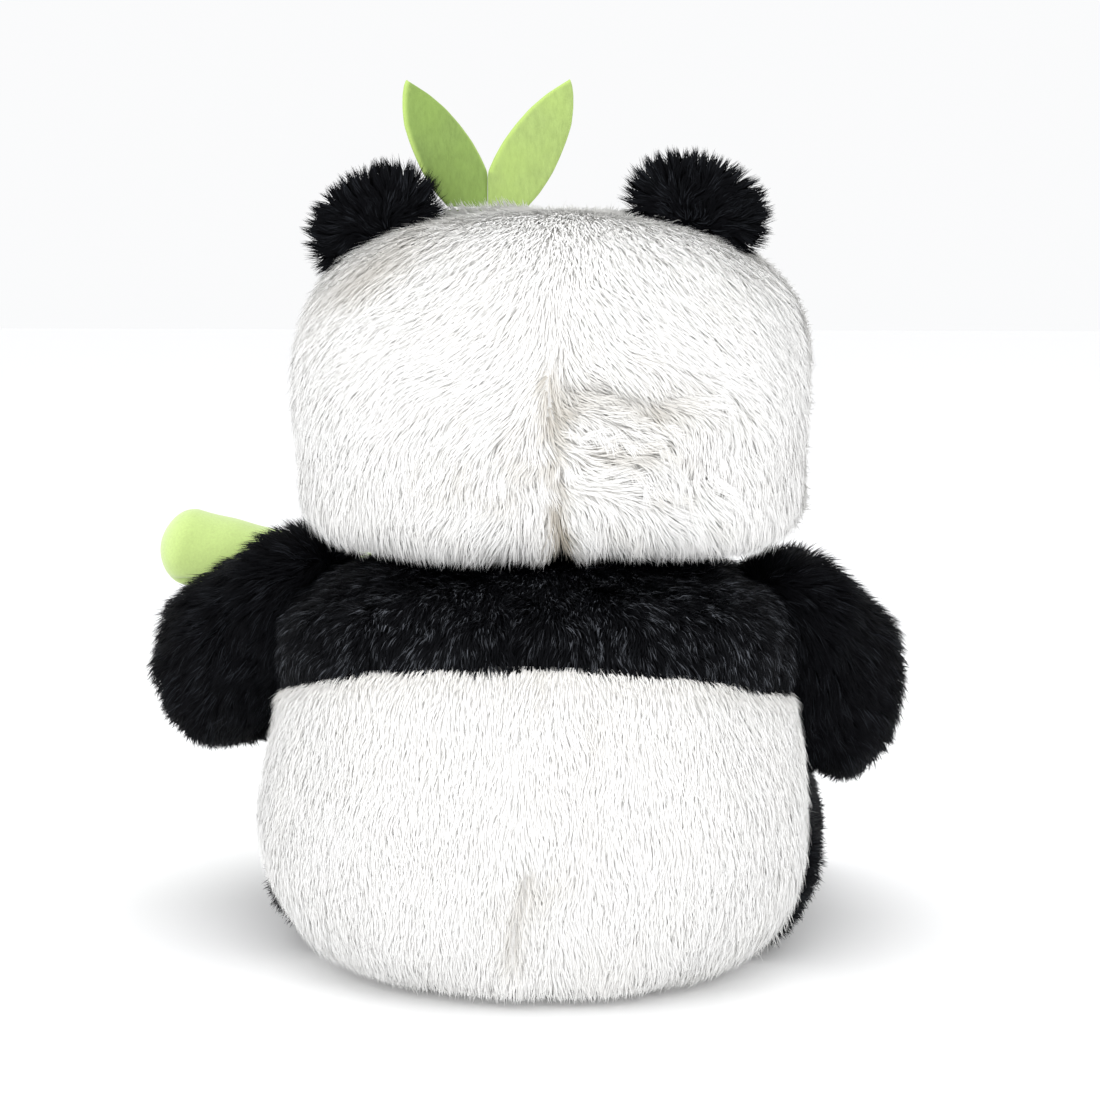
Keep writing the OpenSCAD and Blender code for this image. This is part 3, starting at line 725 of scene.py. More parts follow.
def head_press(p):
    """How far the head's cloth stands in or out: a seam groove below the whorl at the back, a
    pressed fold to its right, and slow waves of the stuffing."""
    x, y, z = p[..., 0], p[..., 1], p[..., 2]
    back = smooth(HY - 5, HY + 30, y)
    d = x - head_seam_x(z)
    below = smooth(227, 213, z)
    groove = -2.2 * bell(d, 2.6) * below * (0.4 + 0.6 * smooth(185, 162, z))
    pit = -1.2 * bell(d, 7) * bell(z - 218, 7)
    r = -(x - WHORL_X)
    fold = smooth(2, 8, r) * smooth(52, 34, r)
    line = fold_line(r)
    sunk = -4.2 * smooth(line + 2, line - 3, z) * smooth(line - 24, line - 9, z)
    dent = fold * (sunk + 1.6 * bell(z - line - 6, 6))
    lump = waves(p, 70, 11) * 0.9 + waves(p, 30, 12) * 0.35
    front = smooth(HY + 5, HY - 30, y)
    chin = -2.4 * bell(x - HX, 2.2) * front * (smooth(172, 160, z) + smooth(216, 226, z))
    side = -1.0 * bell(y - HY - 11, 3.0) * smooth(245, 225, z)
    jowl = 3.6 * bell(z - 164, 13) * smooth(48, 78, np.abs(x - HX))
    return back * (groove + pit + dent) + lump + chin + side + jowl


def body_press(p):
    """The same for the lower body: its back seam, creases beside it, a low bulge, the side seams
    and slow waves of the stuffing."""
    x, y, z = p[..., 0], p[..., 1], p[..., 2]
    back = smooth(5, 35, y)
    d = x - back_seam_x(z)
    shows = back_seam_shows(z)
    groove = -2.4 * bell(d, 3.2) * shows - 0.8 * bell(d, 9) * shows
    bulge = 4.6 * bell(x - 1, 46) * bell(z - 4, 17)
    crease = -1.5 * bell(d + 28 - 0.1 * z, 3.0) * bell(z - 95, 16)
    crease = crease - 1.6 * bell(d - 8 + 0.25 * (z - 35), 4) * bell(z - 38, 12)
    lump = waves(p, 80, 21) * 1.1 + waves(p, 33, 22) * 0.4
    side = -1.8 * bell(y - 9, 2.4)
    return back * (groove + bulge + crease) + lump + side


# ---------------------------------------------------------------- operators


class PANDA_OT_head(bpy.types.Operator):
    """Builds the head's stuffed skin and its white pile"""

    bl_idname = "panda.head"
    bl_label = "Head"

    def grid(self):
        """The head's grid, pressed and cleared of the limbs' space, and where its pile stands:
        not over the neck, the patches and the muzzle, and thinner in front."""
        t = spaced(HEAD_ROUND, 250)
        a, z = head_profile(even(head_profile, 140, 0.0006, 0.994))
        rows = hoop(a[:, None], z[:, None], t[None], HEAD_ROUND, HX, HY)
        rows = rows + lie(rows) * (head_press(rows) - 2.0)[..., None]
        rows, moved = hollowed(rows, (HX, HY, 205), RUN_GAP)
        keep = (moved < BARE).astype(float) * smooth(146, 152, rows[..., 2])
        for place, radius in face_holes():
            keep = keep * (np.linalg.norm(rows - place, axis=-1) > radius)
        return rows, keep * (1 - 0.2 * smooth(HY, HY - 20, rows[..., 1]))

    def brushing(self, p, d, back, left):
        """Directions of the pile. At the back it runs from the whorl outwards and down, and
        backwards over the crown; under the fold on the toy's right it is brushed outwards, and
        beside the middle of the seam it leans over the seam. In front it runs away from the
        nose. The two halves are mixed by the share back."""
        x, _, z = p.T
        above = smooth(210, 232, z)
        side = np.sign(d) * (1 - above) + np.tanh(d / 30) * above
        high = smooth(170, 235, z)
        near = smooth(60, 15, -d) * smooth(214, 200, z) * smooth(163, 182, z)
        on_left = np.stack([side * (0.15 + 1.05 * high), 0 * x, -1.0 + 0.25 * high], -1)
        on_right = np.stack([side * (0.12 + 0.9 * high) - 0.7 * near, 0 * x, -0.95 + 0.35 * near], -1)
        over = smooth(232, 258, z)[:, None] * np.array([0, 1.4, 0])
        rear = on_left * left[:, None] + on_right * (1 - left[:, None]) + over
        rear[:, 0] += -np.sign(d) * bell(d, 9) * smooth(224, 212, z) * smooth(168, 182, z) * 0.45
        nose = np.array([HX, HEAD_LO[1] - 10, 182.0])
        fore = unit(p - nose) * 1.2 + np.stack([0 * x, 0 * x, -0.15 + 0 * x], -1)
        return rear * back[:, None] + fore * (1 - back[:, None])

    def painted_shading(self, p, d, back, rough):
        """How much painted shade greys the pile: along the seam, under the fold, between rough
            tufts, and as a painted shadow of the left ear in a slanting band at its foot."""
        x, y, z = p.T
        r = -(x - WHORL_X)
        # Painted shade along the seam, under the fold and between rough tufts.
        shade = back * smooth(224, 214, z) * (0.95 * bell(d, 2.1) * (0.5 + 0.5 * smooth(185, 165, z)))
        shade = shade + back * smooth(0, 5, r) * smooth(58, 36, r) * bell(z - fold_line(r) + 5, 7.5) * 0.30
        shade = shade + rough * 0.34 * smooth(-0.1, 0.9, waves(p, 13, 33))
        # Painted shadow of the left ear: a slanting band at its foot.
        ex, ez = x - (HX + 54), z - 250.0
        ear_shadow = 0.42 * smooth(HY + 2, HY + 16, y) * bell(0.86 * ex - 0.5 * ez, 22)
        return np.clip(shade + ear_shadow * bell(0.5 * ex + 0.86 * ez, 7), 0, 1)

    def execute(self, context):
        s = pile_settings()
        rows, keep = self.grid()
        plush("head_skin", rows, rows[0].mean(0), rows[-1].mean(0), "head", "white",
              (*HEAD, "head_stuffing"))
        p, n, _ = sow(rows, lie(rows), s.per_cm2 / 100, np.random.default_rng(3), keep)
        x, y, z = p.T
        back = smooth(HY - 8, HY + 18, y)
        d = x - head_seam_x(z)
        left = smooth(-2, 2, d)
        rough = back * (1 - left) * bell(z - 190, 24) * smooth(-88, -50, x)
        rough = rough + 0.7 * back * left * bell(z - 186, 19) * smooth(58, 12, x - HX)
        length = s.head * 1000 * (0.62 + 0.38 * smooth(HY - 62, HY - 20, y))
        length = length * (1 + 0.28 * smooth(180, 162, z))
        foot = smooth(1.0, 0.5, np.linalg.norm((p - [*SPROUT[:2], HEAD_HI[2]]) / [21, 9, 20], axis=-1))
        lift = 0.19 + 0.38 * rough + 0.03 * waves(p, 26, 31) + 0.12 * smooth(178, 160, z) + 0.6 * foot
        strands("head_pile", "head", "white", p, n, self.brushing(p, d, back, left), length, lift,
                s.strand * 1000, 41, clump=0.06 + 0.55 * rough, clump_size=4.2, wild=0.16 + 0.95 * rough,
                shade=self.painted_shading(p, d, back, rough), flat=0.9 - 0.3 * rough, twist=0.14)
        return {"FINISHED"}


EYE_X, EYE_Z = 35.0, 204.0
EYE_RADIUS = 8.3
PATCH_SIZE = (15.5, 20.4)
MUZZLE = np.array([HX, corner("muzzle")[0][1] + 21.0, 179.0])
MUZZLE_SIZE = np.array([28.5, 19.5, 18.5])
NOSE = MUZZLE + [0, -19, 8]
NOSE_SIZE = np.array([9.6, 5.4, 5.9])


def face_y(x, z):
    """Front of the head over a place (x, z): the ring's half-width at that height, and the
    superellipse's depth at that x."""
    u = np.linspace(0.001, 0.999, 1500)
    a, h = head_profile(u)
    a = np.interp(z, h, a)
    share = np.clip(np.abs(x - HX) / a, 0, 0.999)
    return HY - DEPTH * a * (1 - share ** HEAD_ROUND) ** (1 / HEAD_ROUND)


def eye_place(side):
    """Centre of an eye on the face and the direction that it looks."""
    turn = np.radians(12 * side)
    x = HX + side * EYE_X
    return np.array([x, float(face_y(x, EYE_Z)), EYE_Z]), np.array([np.sin(turn), -np.cos(turn), 0.0])


def face_holes():
    """Places that the head's own pile leaves free: patches, eyes and the muzzle."""
    holes = [(MUZZLE + [0, -2, 0], 20.5)]
    for side in (-1, 1):
        holes.append((eye_place(side)[0] + [side * 2, 1, -3], 13.5))
    return holes


class PANDA_OT_face(bpy.types.Operator):
    """Builds the eye patches, eyes, muzzle, nose and mouth"""

    bl_idname = "panda.face"
    bl_label = "Face"

    def patch(self, side, s):
        """A tilted oval laid on the face: a low cushion in front and a flat back behind it."""
        place, _ = eye_place(side)
        r = np.linspace(0.0, 1, 26)[1:, None] ** 0.8
        f = (np.arange(96) / 96 * TAU)[None]
        tilt = np.radians(32 * side)
        ex, ez = PATCH_SIZE[0] * np.cos(f) * r, PATCH_SIZE[1] * np.sin(f) * r
        x = place[0] + side * 2 + ex * np.cos(tilt) + ez * np.sin(tilt)
        z = place[2] - 3 - ex * np.sin(tilt) + ez * np.cos(tilt)
        edge = 1 - r ** 6 + 0 * f
        front = np.stack([x, face_y(x, z) + 1.9 - 3.4 * edge, z], -1)
        rear = np.stack([x, face_y(x, z) + 3.0 + 0 * x, z], -1)
        rows = np.concatenate([front, rear[::-1]])
        suffix = "left" if side > 0 else "right"
        mid = np.array([place[0] + side * 2, 0, place[2] - 3])
        mid[1] = float(face_y(mid[0], mid[2]))
        plush(f"eye_patch_{suffix}_skin", rows, mid + [0, -1.5, 0], mid + [0, 3, 0], "head", "black",
              (f"eye_patch_{suffix}",))
        n = unit(np.stack([(x - HX) * 0.010, -1 + 0 * x, (z - 200) * 0.006], -1))
        keep = (np.linalg.norm(front - place, axis=-1) > 7.0).astype(float)
        p, n, _ = sow(front, n, 2.6, np.random.default_rng(5 + side), keep)
        comb = unit(p - (place + [0, 0, 1])) + [0, 0, -0.5]
        strands(f"eye_patch_{suffix}_pile", "head", "black", p, n, comb, 6.2, 0.5, s.strand * 1000,
                51 + side, clump=0.4, clump_size=3.5)

    def eye(self, side):
        """A moulded dome: a half oval in front and a shallower one behind."""
        place, look = eye_place(side)
        right = np.cross(look, UP)
        e = np.linspace(0, np.pi, 34)[1:-1, None]
        f = (np.arange(72) / 72 * TAU)[None]
        rad = EYE_RADIUS * np.sin(e) ** 0.9
        out = 3.4 + np.where(e < np.pi / 2, 5.6 * np.cos(e), 2.6 * np.cos(e))
        rows = place + look * out[..., None] + right * (rad * np.cos(f))[..., None]
        rows = rows + UP * (rad * np.sin(f))[..., None]
        suffix = "left" if side > 0 else "right"
        shell = stack(rows, place + look * 9.0, place + look * 0.8)
        obj = put(f"eye_{suffix}_dome", *shell, "head", "eye_plastic", made("eye_plastic", eye_plastic))
        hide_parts(f"eye_{suffix}")

    def muzzle(self, s):
        """An ellipsoid cap with a parting under the nose."""
        e = np.linspace(0, np.pi, 60)[1:-1, None]
        f = (np.arange(96) / 96 * TAU)[None]
        d = np.stack([np.sin(e) * np.cos(f), -np.sin(e) * np.sin(f), np.cos(e) + 0 * f], -1)
        rows = MUZZLE + d * MUZZLE_SIZE
        split = bell(rows[..., 0] - HX, 2.6) * smooth(181, 176, rows[..., 2])
        split = split * smooth(0, -8, rows[..., 1] - MUZZLE[1])
        rows = rows - d * (2.4 * split)[..., None]
        n = lie(rows)
        tall = UP * MUZZLE_SIZE[2]
        plush("muzzle_skin", rows, MUZZLE + tall, MUZZLE - tall, "head", "white",
              ("muzzle", "muzzle_stuffing"))
        keep = (rows[..., 1] < MUZZLE[1] - 1).astype(float)
        keep = keep * (np.linalg.norm((rows - NOSE) / [9.5, 6, 6.2], axis=-1) > 1)
        p, n, _ = sow(rows, n, 3.0, np.random.default_rng(9), keep)
        comb = unit(p - MUZZLE - [0, -24, 8]) + [0, 0, -0.35]
        strands("muzzle_pile", "head", "white", p, n, comb, 4.4, 0.55, s.strand * 950, 61,
                clump=0.3, clump_size=3.0)

    def nose(self):
        """A superellipsoid narrowed downwards, with the ridges of upright satin stitches."""
        e = np.linspace(0, np.pi, 40)[1:-1, None]
        f = (np.arange(96) / 96 * TAU)[None]
        x, z = np.sin(e) * np.cos(f), np.cos(e) + 0 * f
        squeeze = 1 - 0.28 * smooth(0.3, -1, z)
        fore = np.sin(e) * np.sin(f)
        rows = NOSE + NOSE_SIZE * np.stack([spow(x, 0.9) * squeeze, -fore, spow(z, 0.95)], -1)
        rows[..., 1] -= 0.10 * np.sin(rows[..., 0] * 7.2) * (fore > 0)
        tall = UP * NOSE_SIZE[2]
        shell = stack(rows, NOSE + tall, NOSE - tall)
        obj = put("nose_satin", *shell, "head", "nose_satin", made("nose_satin", nose_satin))
        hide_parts("nose")

    def mouth(self):
        """Three threads on the muzzle: one upright, and a half ellipse to each side."""
        t = np.linspace(0, 1, 70)
        lines = [np.stack([0 * t, 0 * t, 4.5 - 8.2 * t], -1)]
        for side in (-1, 1):
            a = np.pi * t
            lines.append(np.stack([side * (6.1 - 6.1 * np.cos(a)), 0 * t, -3.6 - 5.4 * np.sin(a)], -1))
        parts = []
        for line in lines:
            x, z = line[:, 0], line[:, 2] - 3
            wide, deep, tall = MUZZLE_SIZE
            y = -deep * np.sqrt(np.clip(1 - (x / wide) ** 2 - (z / tall) ** 2, 0.01, 1))
            pts = MUZZLE + np.stack([x, y - 1.7, z], -1)
            parts.append(tube(pts, 0.75, 12, 0.09, 1.4))
        obj = join("mouth_thread", parts, "head", "stitch_thread", made("stitch_thread", stitch_thread))
        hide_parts("mouth_stitch")

    def execute(self, context):
        s = pile_settings()
        for side in (-1, 1):
            self.patch(side, s)
            self.eye(side)
        self.muzzle(s)
        self.nose()
        self.mouth()
        for suffix in ("left", "right"):
            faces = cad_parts[f"eye_washer_{suffix}"].data.materials
            faces.clear()
            faces.append(made("washer_plastic", washer_plastic))
        return {"FINISHED"}


def tube(points, radius, around, twist=0.0, pitch=2.0):
    """A closed tube round a line: rings square to the line, with a two-ply ripple of the
    radius that winds along it, and domed ends."""
    w = unit(np.gradient(points, axis=0))
    ref = np.where(np.abs(w[:, 1:2]) < 0.9, [[0.0, 1.0, 0.0]], [[0.0, 0.0, 1.0]])
    s = unit(np.cross(w, ref))
    u = np.cross(s, w)
    run = np.concatenate([[0], np.cumsum(np.linalg.norm(np.diff(points, axis=0), axis=1))])
    a = np.arange(around) / around * TAU
    r = radius * (1 + twist * np.cos(2 * a[None] + TAU * run[:, None] / pitch))
    taper = np.sqrt(np.clip(1 - (1 - np.minimum(run, run[-1] - run) / radius).clip(0, 1) ** 2, 0.02, 1))
    r = r * taper[:, None]
    rows = points[:, None] + s[:, None] * (r * np.cos(a))[..., None] + u[:, None] * (r * np.sin(a))[..., None]
    return stack(rows, points[0] - w[0] * radius * 0.1, points[-1] + w[-1] * radius * 0.1)


def join(name, parts, body, slot, material):
    """Several closed parts as one object."""
    verts, quads, tris, base = [], [], [], 0
    for v, q, t in parts:
        verts.append(v)
        quads.append(q + base)
        tris.append(t + base)
        base += len(v)
    return put(name, np.concatenate(verts), np.concatenate(quads), np.concatenate(tris), body, slot, material)


def eye_plastic(name):
    """Glossy black moulding with faint flow marks."""
    s, m = cloth_settings(), Cloth(name)
    base = m.blend(m.ramp(m.noise(260), (0.4, 0.0), (0.8, 1.0)), tuple(s.plastic), shade_of(s.plastic, 2.2))
    m.bump(m.noise(700), 0.05, 0.0001)
    return m.finish(base, 0.12, 0.0, Specular_IOR_Level=0.2)


def washer_plastic(name):
    """Milky moulded washer."""
    m = Cloth(name)
    base = m.blend(m.noise(300), (0.72, 0.72, 0.69, 1), (0.80, 0.80, 0.78, 1))
    return m.finish(base, 0.4)


def nose_satin(name):
    """Satin stitches: fine upright threads of a sheeny black."""
    s, m = cloth_settings(), Cloth(name)
    line = m.noise(300, 2.0, (6.0, 1.0, 0.4))
    base = m.blend(m.ramp(line, (0.35, 0.0), (0.65, 1.0)), tuple(s.nose), shade_of(s.nose, 3.0))
    m.bump(line, 0.5, 0.0005)
    return m.finish(base, 0.5, 0.0, Specular_IOR_Level=0.07)


def stitch_thread(name):
    """Black sewing thread."""
    m = Cloth(name)
    fibre = m.noise(1500, 2.0)
    base = m.blend(fibre, (0.006, 0.006, 0.007, 1), (0.03, 0.03, 0.033, 1))
    m.bump(fibre, 0.4, 0.0002)
    return m.finish(base, 0.6, 0.02, Specular_IOR_Level=0.1)


# Place beside the head's middle, tilt in degrees and extra height of each ear.
EARS = {"ear_left": (58.0, 31.0, 0.0), "ear_right": (-49.5, -18.0, 1.5)}
EAR_HALF_WIDTH, EAR_HALF_THICK, EAR_HALF_HEIGHT, EAR_RISE = 18.5, 7.0, 11.7, 6.5


class PANDA_OT_ears(bpy.types.Operator):
    """Builds both ears with their spiky black pile"""

    bl_idname = "panda.ears"
    bl_label = "Ears"

    def execute(self, context):
        s = pile_settings()
        for k, (name, (x, tilt, more)) in enumerate(EARS.items()):
            z = HEAD_MID + HEAD_UP * (1 - (abs(x) / HEAD_A) ** CROWN_ROUND) ** (1 / CROWN_ROUND) - 3 + more
            a = np.radians(tilt)
            place = np.array([HX + x, HY + 11, z])
            across, upward = np.array([np.cos(a), 0, -np.sin(a)]), np.array([np.sin(a), 0, np.cos(a)])
            e = np.linspace(0, np.pi, 44)[1:-1, None]
            f = (np.arange(80) / 80 * TAU)[None]
            ex = EAR_HALF_WIDTH * spow(np.sin(e), 0.9) * np.cos(f)
            ey = EAR_HALF_THICK * spow(np.sin(e), 0.9) * spow(np.sin(f), 0.85)
            ez = EAR_RISE + EAR_HALF_HEIGHT * np.cos(e) + 0 * f
            ez = np.maximum(ez, -2 - 0.25 * np.abs(np.cos(e)))
            cup = 1.6 * bell(ex, 11) * bell(ez - 7, 8)
            ey = ey - np.where(np.sin(f) < 0, -1, 0) * cup

            rows = place + across * ex[..., None] + np.array([0, 1.0, 0]) * ey[..., None]
            rows = rows + upward * ez[..., None]
            top, bottom = place + upward * (EAR_RISE + EAR_HALF_HEIGHT), place - upward * 2.3
            plush(f"{name}_skin", rows, top, bottom, name, "black", (f"{name}_back", f"{name}_front"))
            n = lie(rows)
            keep = (ez > -1.2).astype(float)
            p, n, _ = sow(rows, n, 4.6, np.random.default_rng(70 + k), keep)
            d = p - place
            lx, lz = d @ across, d @ upward
            rim = np.sqrt((lx / EAR_HALF_WIDTH) ** 2 + ((lz - EAR_RISE) / EAR_HALF_HEIGHT) ** 2)
            rim = smooth(0.5, 1.0, rim)
            comb = across * (lx / 16 + 0.35 * waves(p, 12, 82 + k))[:, None]
            comb = comb + upward * (0.25 + 0.09 * (lz - 4))[:, None]
            strands(f"{name}_pile", name, "black", p, n, comb, s.ear * 1000 * (0.62 + 0.38 * rim),
                    0.75 + 0.35 * rim, s.strand * 900, 81 + k, clump=0.45 + 0.45 * rim, clump_size=2.8,
                    wild=0.8, flat=0.5)
        return {"FINISHED"}


def leaf_felt(name):
    """Napped felt: two greens, a fine nap, a paler cut rim, and painted shade from the nap mark that darkens
    the left leaf fully and the tab by half.
    """
    s, m = cloth_settings(), Cloth(name)
    nap = m.noise(700, 4.0, (1.0, 1.0, 0.35), 0.7)
    patch = m.noise(60, 3.0)
    base = m.blend(m.ramp(nap, (0.3, 0.0), (0.7, 1.0)), shade_of(s.leaf, 0.84), shade_of(s.leaf, 1.12))
    base = m.blend(m.ramp(patch, (0.4, 0.0), (0.7, 0.5)), base, shade_of(s.leaf_rim, 0.85))
    # Painted shade: the nap mark darkens the left leaf as if it were turned from the light, and the tab by
    # half.
    base = m.blend(m.mark("nap"), base, (0.62, 0.68, 0.58, 1), "MULTIPLY")
    base = m.blend(m.mark("rim"), base, tuple(s.leaf_rim))
    m.bump(nap, 0.5, 0.0006)
    return m.finish(base, 0.9, 0.12, Specular_IOR_Level=0.1)


# Along a leaf from its foot to its tip: share of the height, and the inner and outer edge as
# shares of the pair's half-width.
LEAF_EDGE = np.array([
    [0, .01, .47], [.1, .01, .6], [.2, .012, .7], [.28, .02, .77], [.4, .1, .85], [.52, .2, .92],
    [.65, .34, .98], [.78, .51, 1], [.89, .7, 1], [.96, .86, .985], [1, .955, .965]])
LEAF_HALF_THICK = 1.5


def softened(q):
    """Weighted mean of each value and its two neighbours on either side."""
    return np.convolve(np.pad(q, 2, mode="edge"), np.array([1, 4, 6, 4, 1.0]) / 16, "valid")


class PANDA_OT_leaves(bpy.types.Operator):
    """Builds the two felt leaves and the tab that they are sewn to"""

    bl_idname = "panda.leaves"
    bl_label = "Leaves"

    def leaf(self, name, side, felt):
        """A flat closed sheet between an inner and an outer edge, bowed a little forwards."""
        long, wide = LEAF_HI[2] - LEAF_LO[2], (LEAF_HI[0] - LEAF_LO[0]) / 2
        v = 0.5 - 0.5 * np.cos(np.linspace(0.02, 0.985, 70) * np.pi)
        inner = softened(np.interp(v, LEAF_EDGE[:, 0], LEAF_EDGE[:, 1]) * wide)
        outer = softened(np.interp(v, LEAF_EDGE[:, 0], LEAF_EDGE[:, 2]) * wide)
        inner = np.maximum(inner - 0.35, 0.12)
        f = np.arange(72) / 72 * TAU
        mid, half = (inner + outer) / 2, (outer - inner) / 2
        across = spow(np.cos(f), 0.3)[None]
        x = SPROUT[0] + side * (mid[:, None] + half[:, None] * across)
        thick = LEAF_HALF_THICK * np.minimum(1, np.sqrt(np.maximum(half, 0.2) / 2.2))
        bow = 2.2 * v[:, None] ** 2 - 1.6 * side * across * np.sin(v * np.pi)[:, None] * 0.7
        y = SPROUT[1] + thick[:, None] * spow(np.sin(f), 0.5)[None] - bow
        z = SPROUT[2] + (v * long)[:, None] + 0 * x
        rows = np.stack([x, y, z], -1)
        edge = np.where(v[:, None] > 0.27, half[:, None] * (1 - side * across), 9)
        rim = smooth(2.6, 0.6, edge) * 0.9 + smooth(0.93, 1, np.abs(across)) * 0.4
        # The nap mark is painted shade: full on the left leaf, none on the right.
        marks = {"rim": np.clip(rim, 0, 1), "nap": np.full(x.shape, 0.5 + 0.5 * side)}
        tip = rows[-1].mean(0) + [0, 0, 0.4]
        skin(f"{name}_felt", rows, rows[0].mean(0), tip, name, "leaf_felt", felt, (name,), marks)

    def execute(self, context):
        felt = made("leaf_felt", leaf_felt)
        self.leaf("leaf_left", 1, felt)
        self.leaf("leaf_right", -1, felt)
        lo, hi = corner("leaf_base")
        z = np.linspace(lo[2] + 2, hi[2] - 0.2, 20)[:, None]
        f = (np.arange(60) / 60 * TAU)[None]
        half = (hi[0] - lo[0]) / 2 * (1 - 0.04 * smooth(hi[2] - 3, hi[2], z))
        x = (lo[0] + hi[0]) / 2 + half * spow(np.cos(f), 0.3)
        y = SPROUT[1] + LEAF_HALF_THICK * spow(np.sin(f), 0.5) + 0 * z
        rows = np.stack([x, y, z + 0 * f], -1)
        # Half the left leaf's painted shade on the tab.
        marks = {"rim": np.zeros(x.shape), "nap": np.full(x.shape, 0.5)}
        skin("leaf_tab_felt", rows, rows[0].mean(0), rows[-1].mean(0), "head", "leaf_felt", felt,
             ("leaf_base",), marks)
        return {"FINISHED"}


class PANDA_OT_body(bpy.types.Operator):
    """Builds the white lower body, the black yoke, their pile and the neck's ball"""

    bl_idname = "panda.body"
    bl_label = "Body"

    core = (0.0, 0.0, 75.0)
    seat_z = 0.8
    seat_rings = 9

    def lower_rows(self, t, top):
        """The white cloth below the yoke's seam and the flat seat, a hair off the floor."""
        a, z = body_profile((even(body_profile, 100, 0.0, 0.5) / 0.5)[:, None] * top[None])
        rows = hoop(a, z, t[None], BODY_ROUND, 0, 0)
        ring = np.linspace(0.06, 0.97, self.seat_rings)[:, None]
        seat = hoop(ring * a[:1], 0 * ring * a[:1], t[None], BODY_ROUND, 0, 0)
        seat[..., 2] = self.seat_z
        pinch = 2.2 * bell(z - yoke_seam(t), 3.0)
        out = body_press(rows) * smooth(0, 12, z) - 1.4 - pinch
        body = rows + lie(rows) * out[..., None]
        body[..., 2] = np.maximum(body[..., 2], self.seat_z)
        return hollowed(np.concatenate([seat * [0.96, 0.96, 1], body]), self.core, RUN_GAP)

    def lower(self, s, t, top):
        """White skin and pile. The pile hangs, parts over the seam and is fuller at the back."""
        rows, moved = self.lower_rows(t, top)
        plush("lower_body_skin", rows, (0, 0, self.seat_z), (0, 0, 100), "torso", "white",
              ("back_left", "back_right", "belly", "seat_panel", "body_stuffing"))
        n = lie(rows)
        n[:self.seat_rings] = [0, 0, -1]
        keep = (moved < BARE) * smooth(0.7, 1.6, rows[..., 2])
        keep = keep * (1 - 0.25 * smooth(0, -20, rows[..., 1]))
        p, n, _ = sow(rows, n, s.per_cm2 / 100 * 0.95, np.random.default_rng(13), keep)
        x, y, z = p.T
        back = smooth(0, 30, y)
        d = x - back_seam_x(z)
        shows = back_seam_shows(z)
        apart = 0.06 * np.tanh(d / 10) * bell(d, 40) + 0.35 * np.sign(d) * bell(d, 4) * back * shows
        comb = np.stack([apart, 0 * x, -1 + 0 * x], -1)
        comb = comb + unit(p * [1, 1, 0]) * 0.25 * smooth(30, 4, z)[:, None]
        near = yoke_seam(np.arctan2(y / DEPTH, x)) - z
        length = s.body * 1000 * (0.72 + 0.28 * smooth(0, 14, near))
        length = length * (0.7 + 0.3 * smooth(-20, 10, y)) * (0.8 + 0.2 * smooth(1, 12, z))
        lift = 0.20 + 0.03 * waves(p, 30, 35) + 0.25 * bell(near, 5)
        # Painted shade: grey along the back seam, in a band under the yoke's edge, and in the creases beside
        # the seam.
        shade = back * (0.24 * bell(d, 2.4) + 0.06 * bell(d, 9)) * shows
        shade = shade + 0.16 * bell(near, 5)
        shade = shade + 0.10 * back * bell(d + 28 - 0.1 * z, 4) * bell(z - 98, 13)
        shade = shade + 0.14 * back * smooth(0, -4, d) * bell(d + 10 + 0.6 * (z - 50), 7) * bell(z - 48, 8)
        p, n, comb, length, lift, shade = floor_clear(p, n, comb, length, lift, shade)
        strands("lower_body_pile", "torso", "white", p, n, comb, length, lift, s.strand * 1000, 91,
                clump=0.05, clump_size=3.6, wild=0.16, shade=np.clip(shade, 0, 1), flat=0.92, twist=0.12)

    def yoke(self, s, t, top):
        """Black skin and pile from the seam to the top, with slow folds and a dip at the middle."""
        u = even(body_profile, 70, 0.5, 0.9985)
        u = (u - u[0]) / (u[-1] - u[0])
        a, z = body_profile(top[None] + u[:, None] * (0.9985 - top[None]))
        rows = hoop(a, z, t[None], BODY_ROUND, 0, 0)
        pinch = 1.6 * bell(z - yoke_seam(t), 3.0)
        x, y = rows[..., 0], rows[..., 1]
        fold = waves(rows, 38, 24) * 0.9 + waves(rows * [1, 1, 2.2], 24, 25) * 0.5
        fold = fold - 2.4 * bell(x - 3, 5) * smooth(30, 60, y) * bell(z - 130, 12)
        rows = rows + lie(rows) * (fold - 2.2 - pinch)[..., None]
        rows, moved = hollowed(rows, self.core, RUN_GAP)
        plush("yoke_skin", rows, (0, 0, 112), rows[-1].mean(0), "torso", "black",
              ("yoke_back", "yoke_front"))
        keep = (moved < BARE).astype(float)
        p, n, _ = sow(rows, lie(rows), s.per_cm2 / 100 * 1.1, np.random.default_rng(17), keep)
        x, y, z = p.T
        comb = np.stack([0.003 * x + 0.12 * waves(p, 45, 37), 0 * x, -1 + 0 * x], -1)
        comb = comb + unit(p * [1, 1, 0]) * 0.5 * smooth(135, 148, z)[:, None]
        strands("yoke_pile", "torso", "yoke", p, n, comb, s.yoke * 1000, 0.40 + 0.14 * waves(p, 20, 38),
                s.strand * 850, 95, clump=0.15, clump_size=2.6, wild=0.35, flat=0.5)

    def neck(self):
        """A ball with slow waves, hidden between head and yoke."""
        e = np.linspace(0, np.pi, 40)[1:-1, None]
        f = (np.arange(64) / 64 * TAU)[None]
        d = np.stack([np.sin(e) * np.cos(f), np.sin(e) * np.sin(f), np.cos(e) + 0 * f], -1)
        rows = NECK + d * (NECK_RADIUS + 0.25 * waves(d * 30, 14, 39))[..., None]
        tall = UP * NECK_RADIUS
        skin("neck_ball", rows, NECK + tall, NECK - tall, "neck", None, ground_of("black"),
             ("neck_stuffing",))

    def execute(self, context):
        s = pile_settings()
        t = spaced(BODY_ROUND, 280)
        u = np.linspace(0, 1, 3000)
        top = np.interp(yoke_seam(t), body_profile(u)[1], u)
        self.lower(s, t, top)
        self.yoke(s, t, top)
        self.neck()
        return {"FINISHED"}


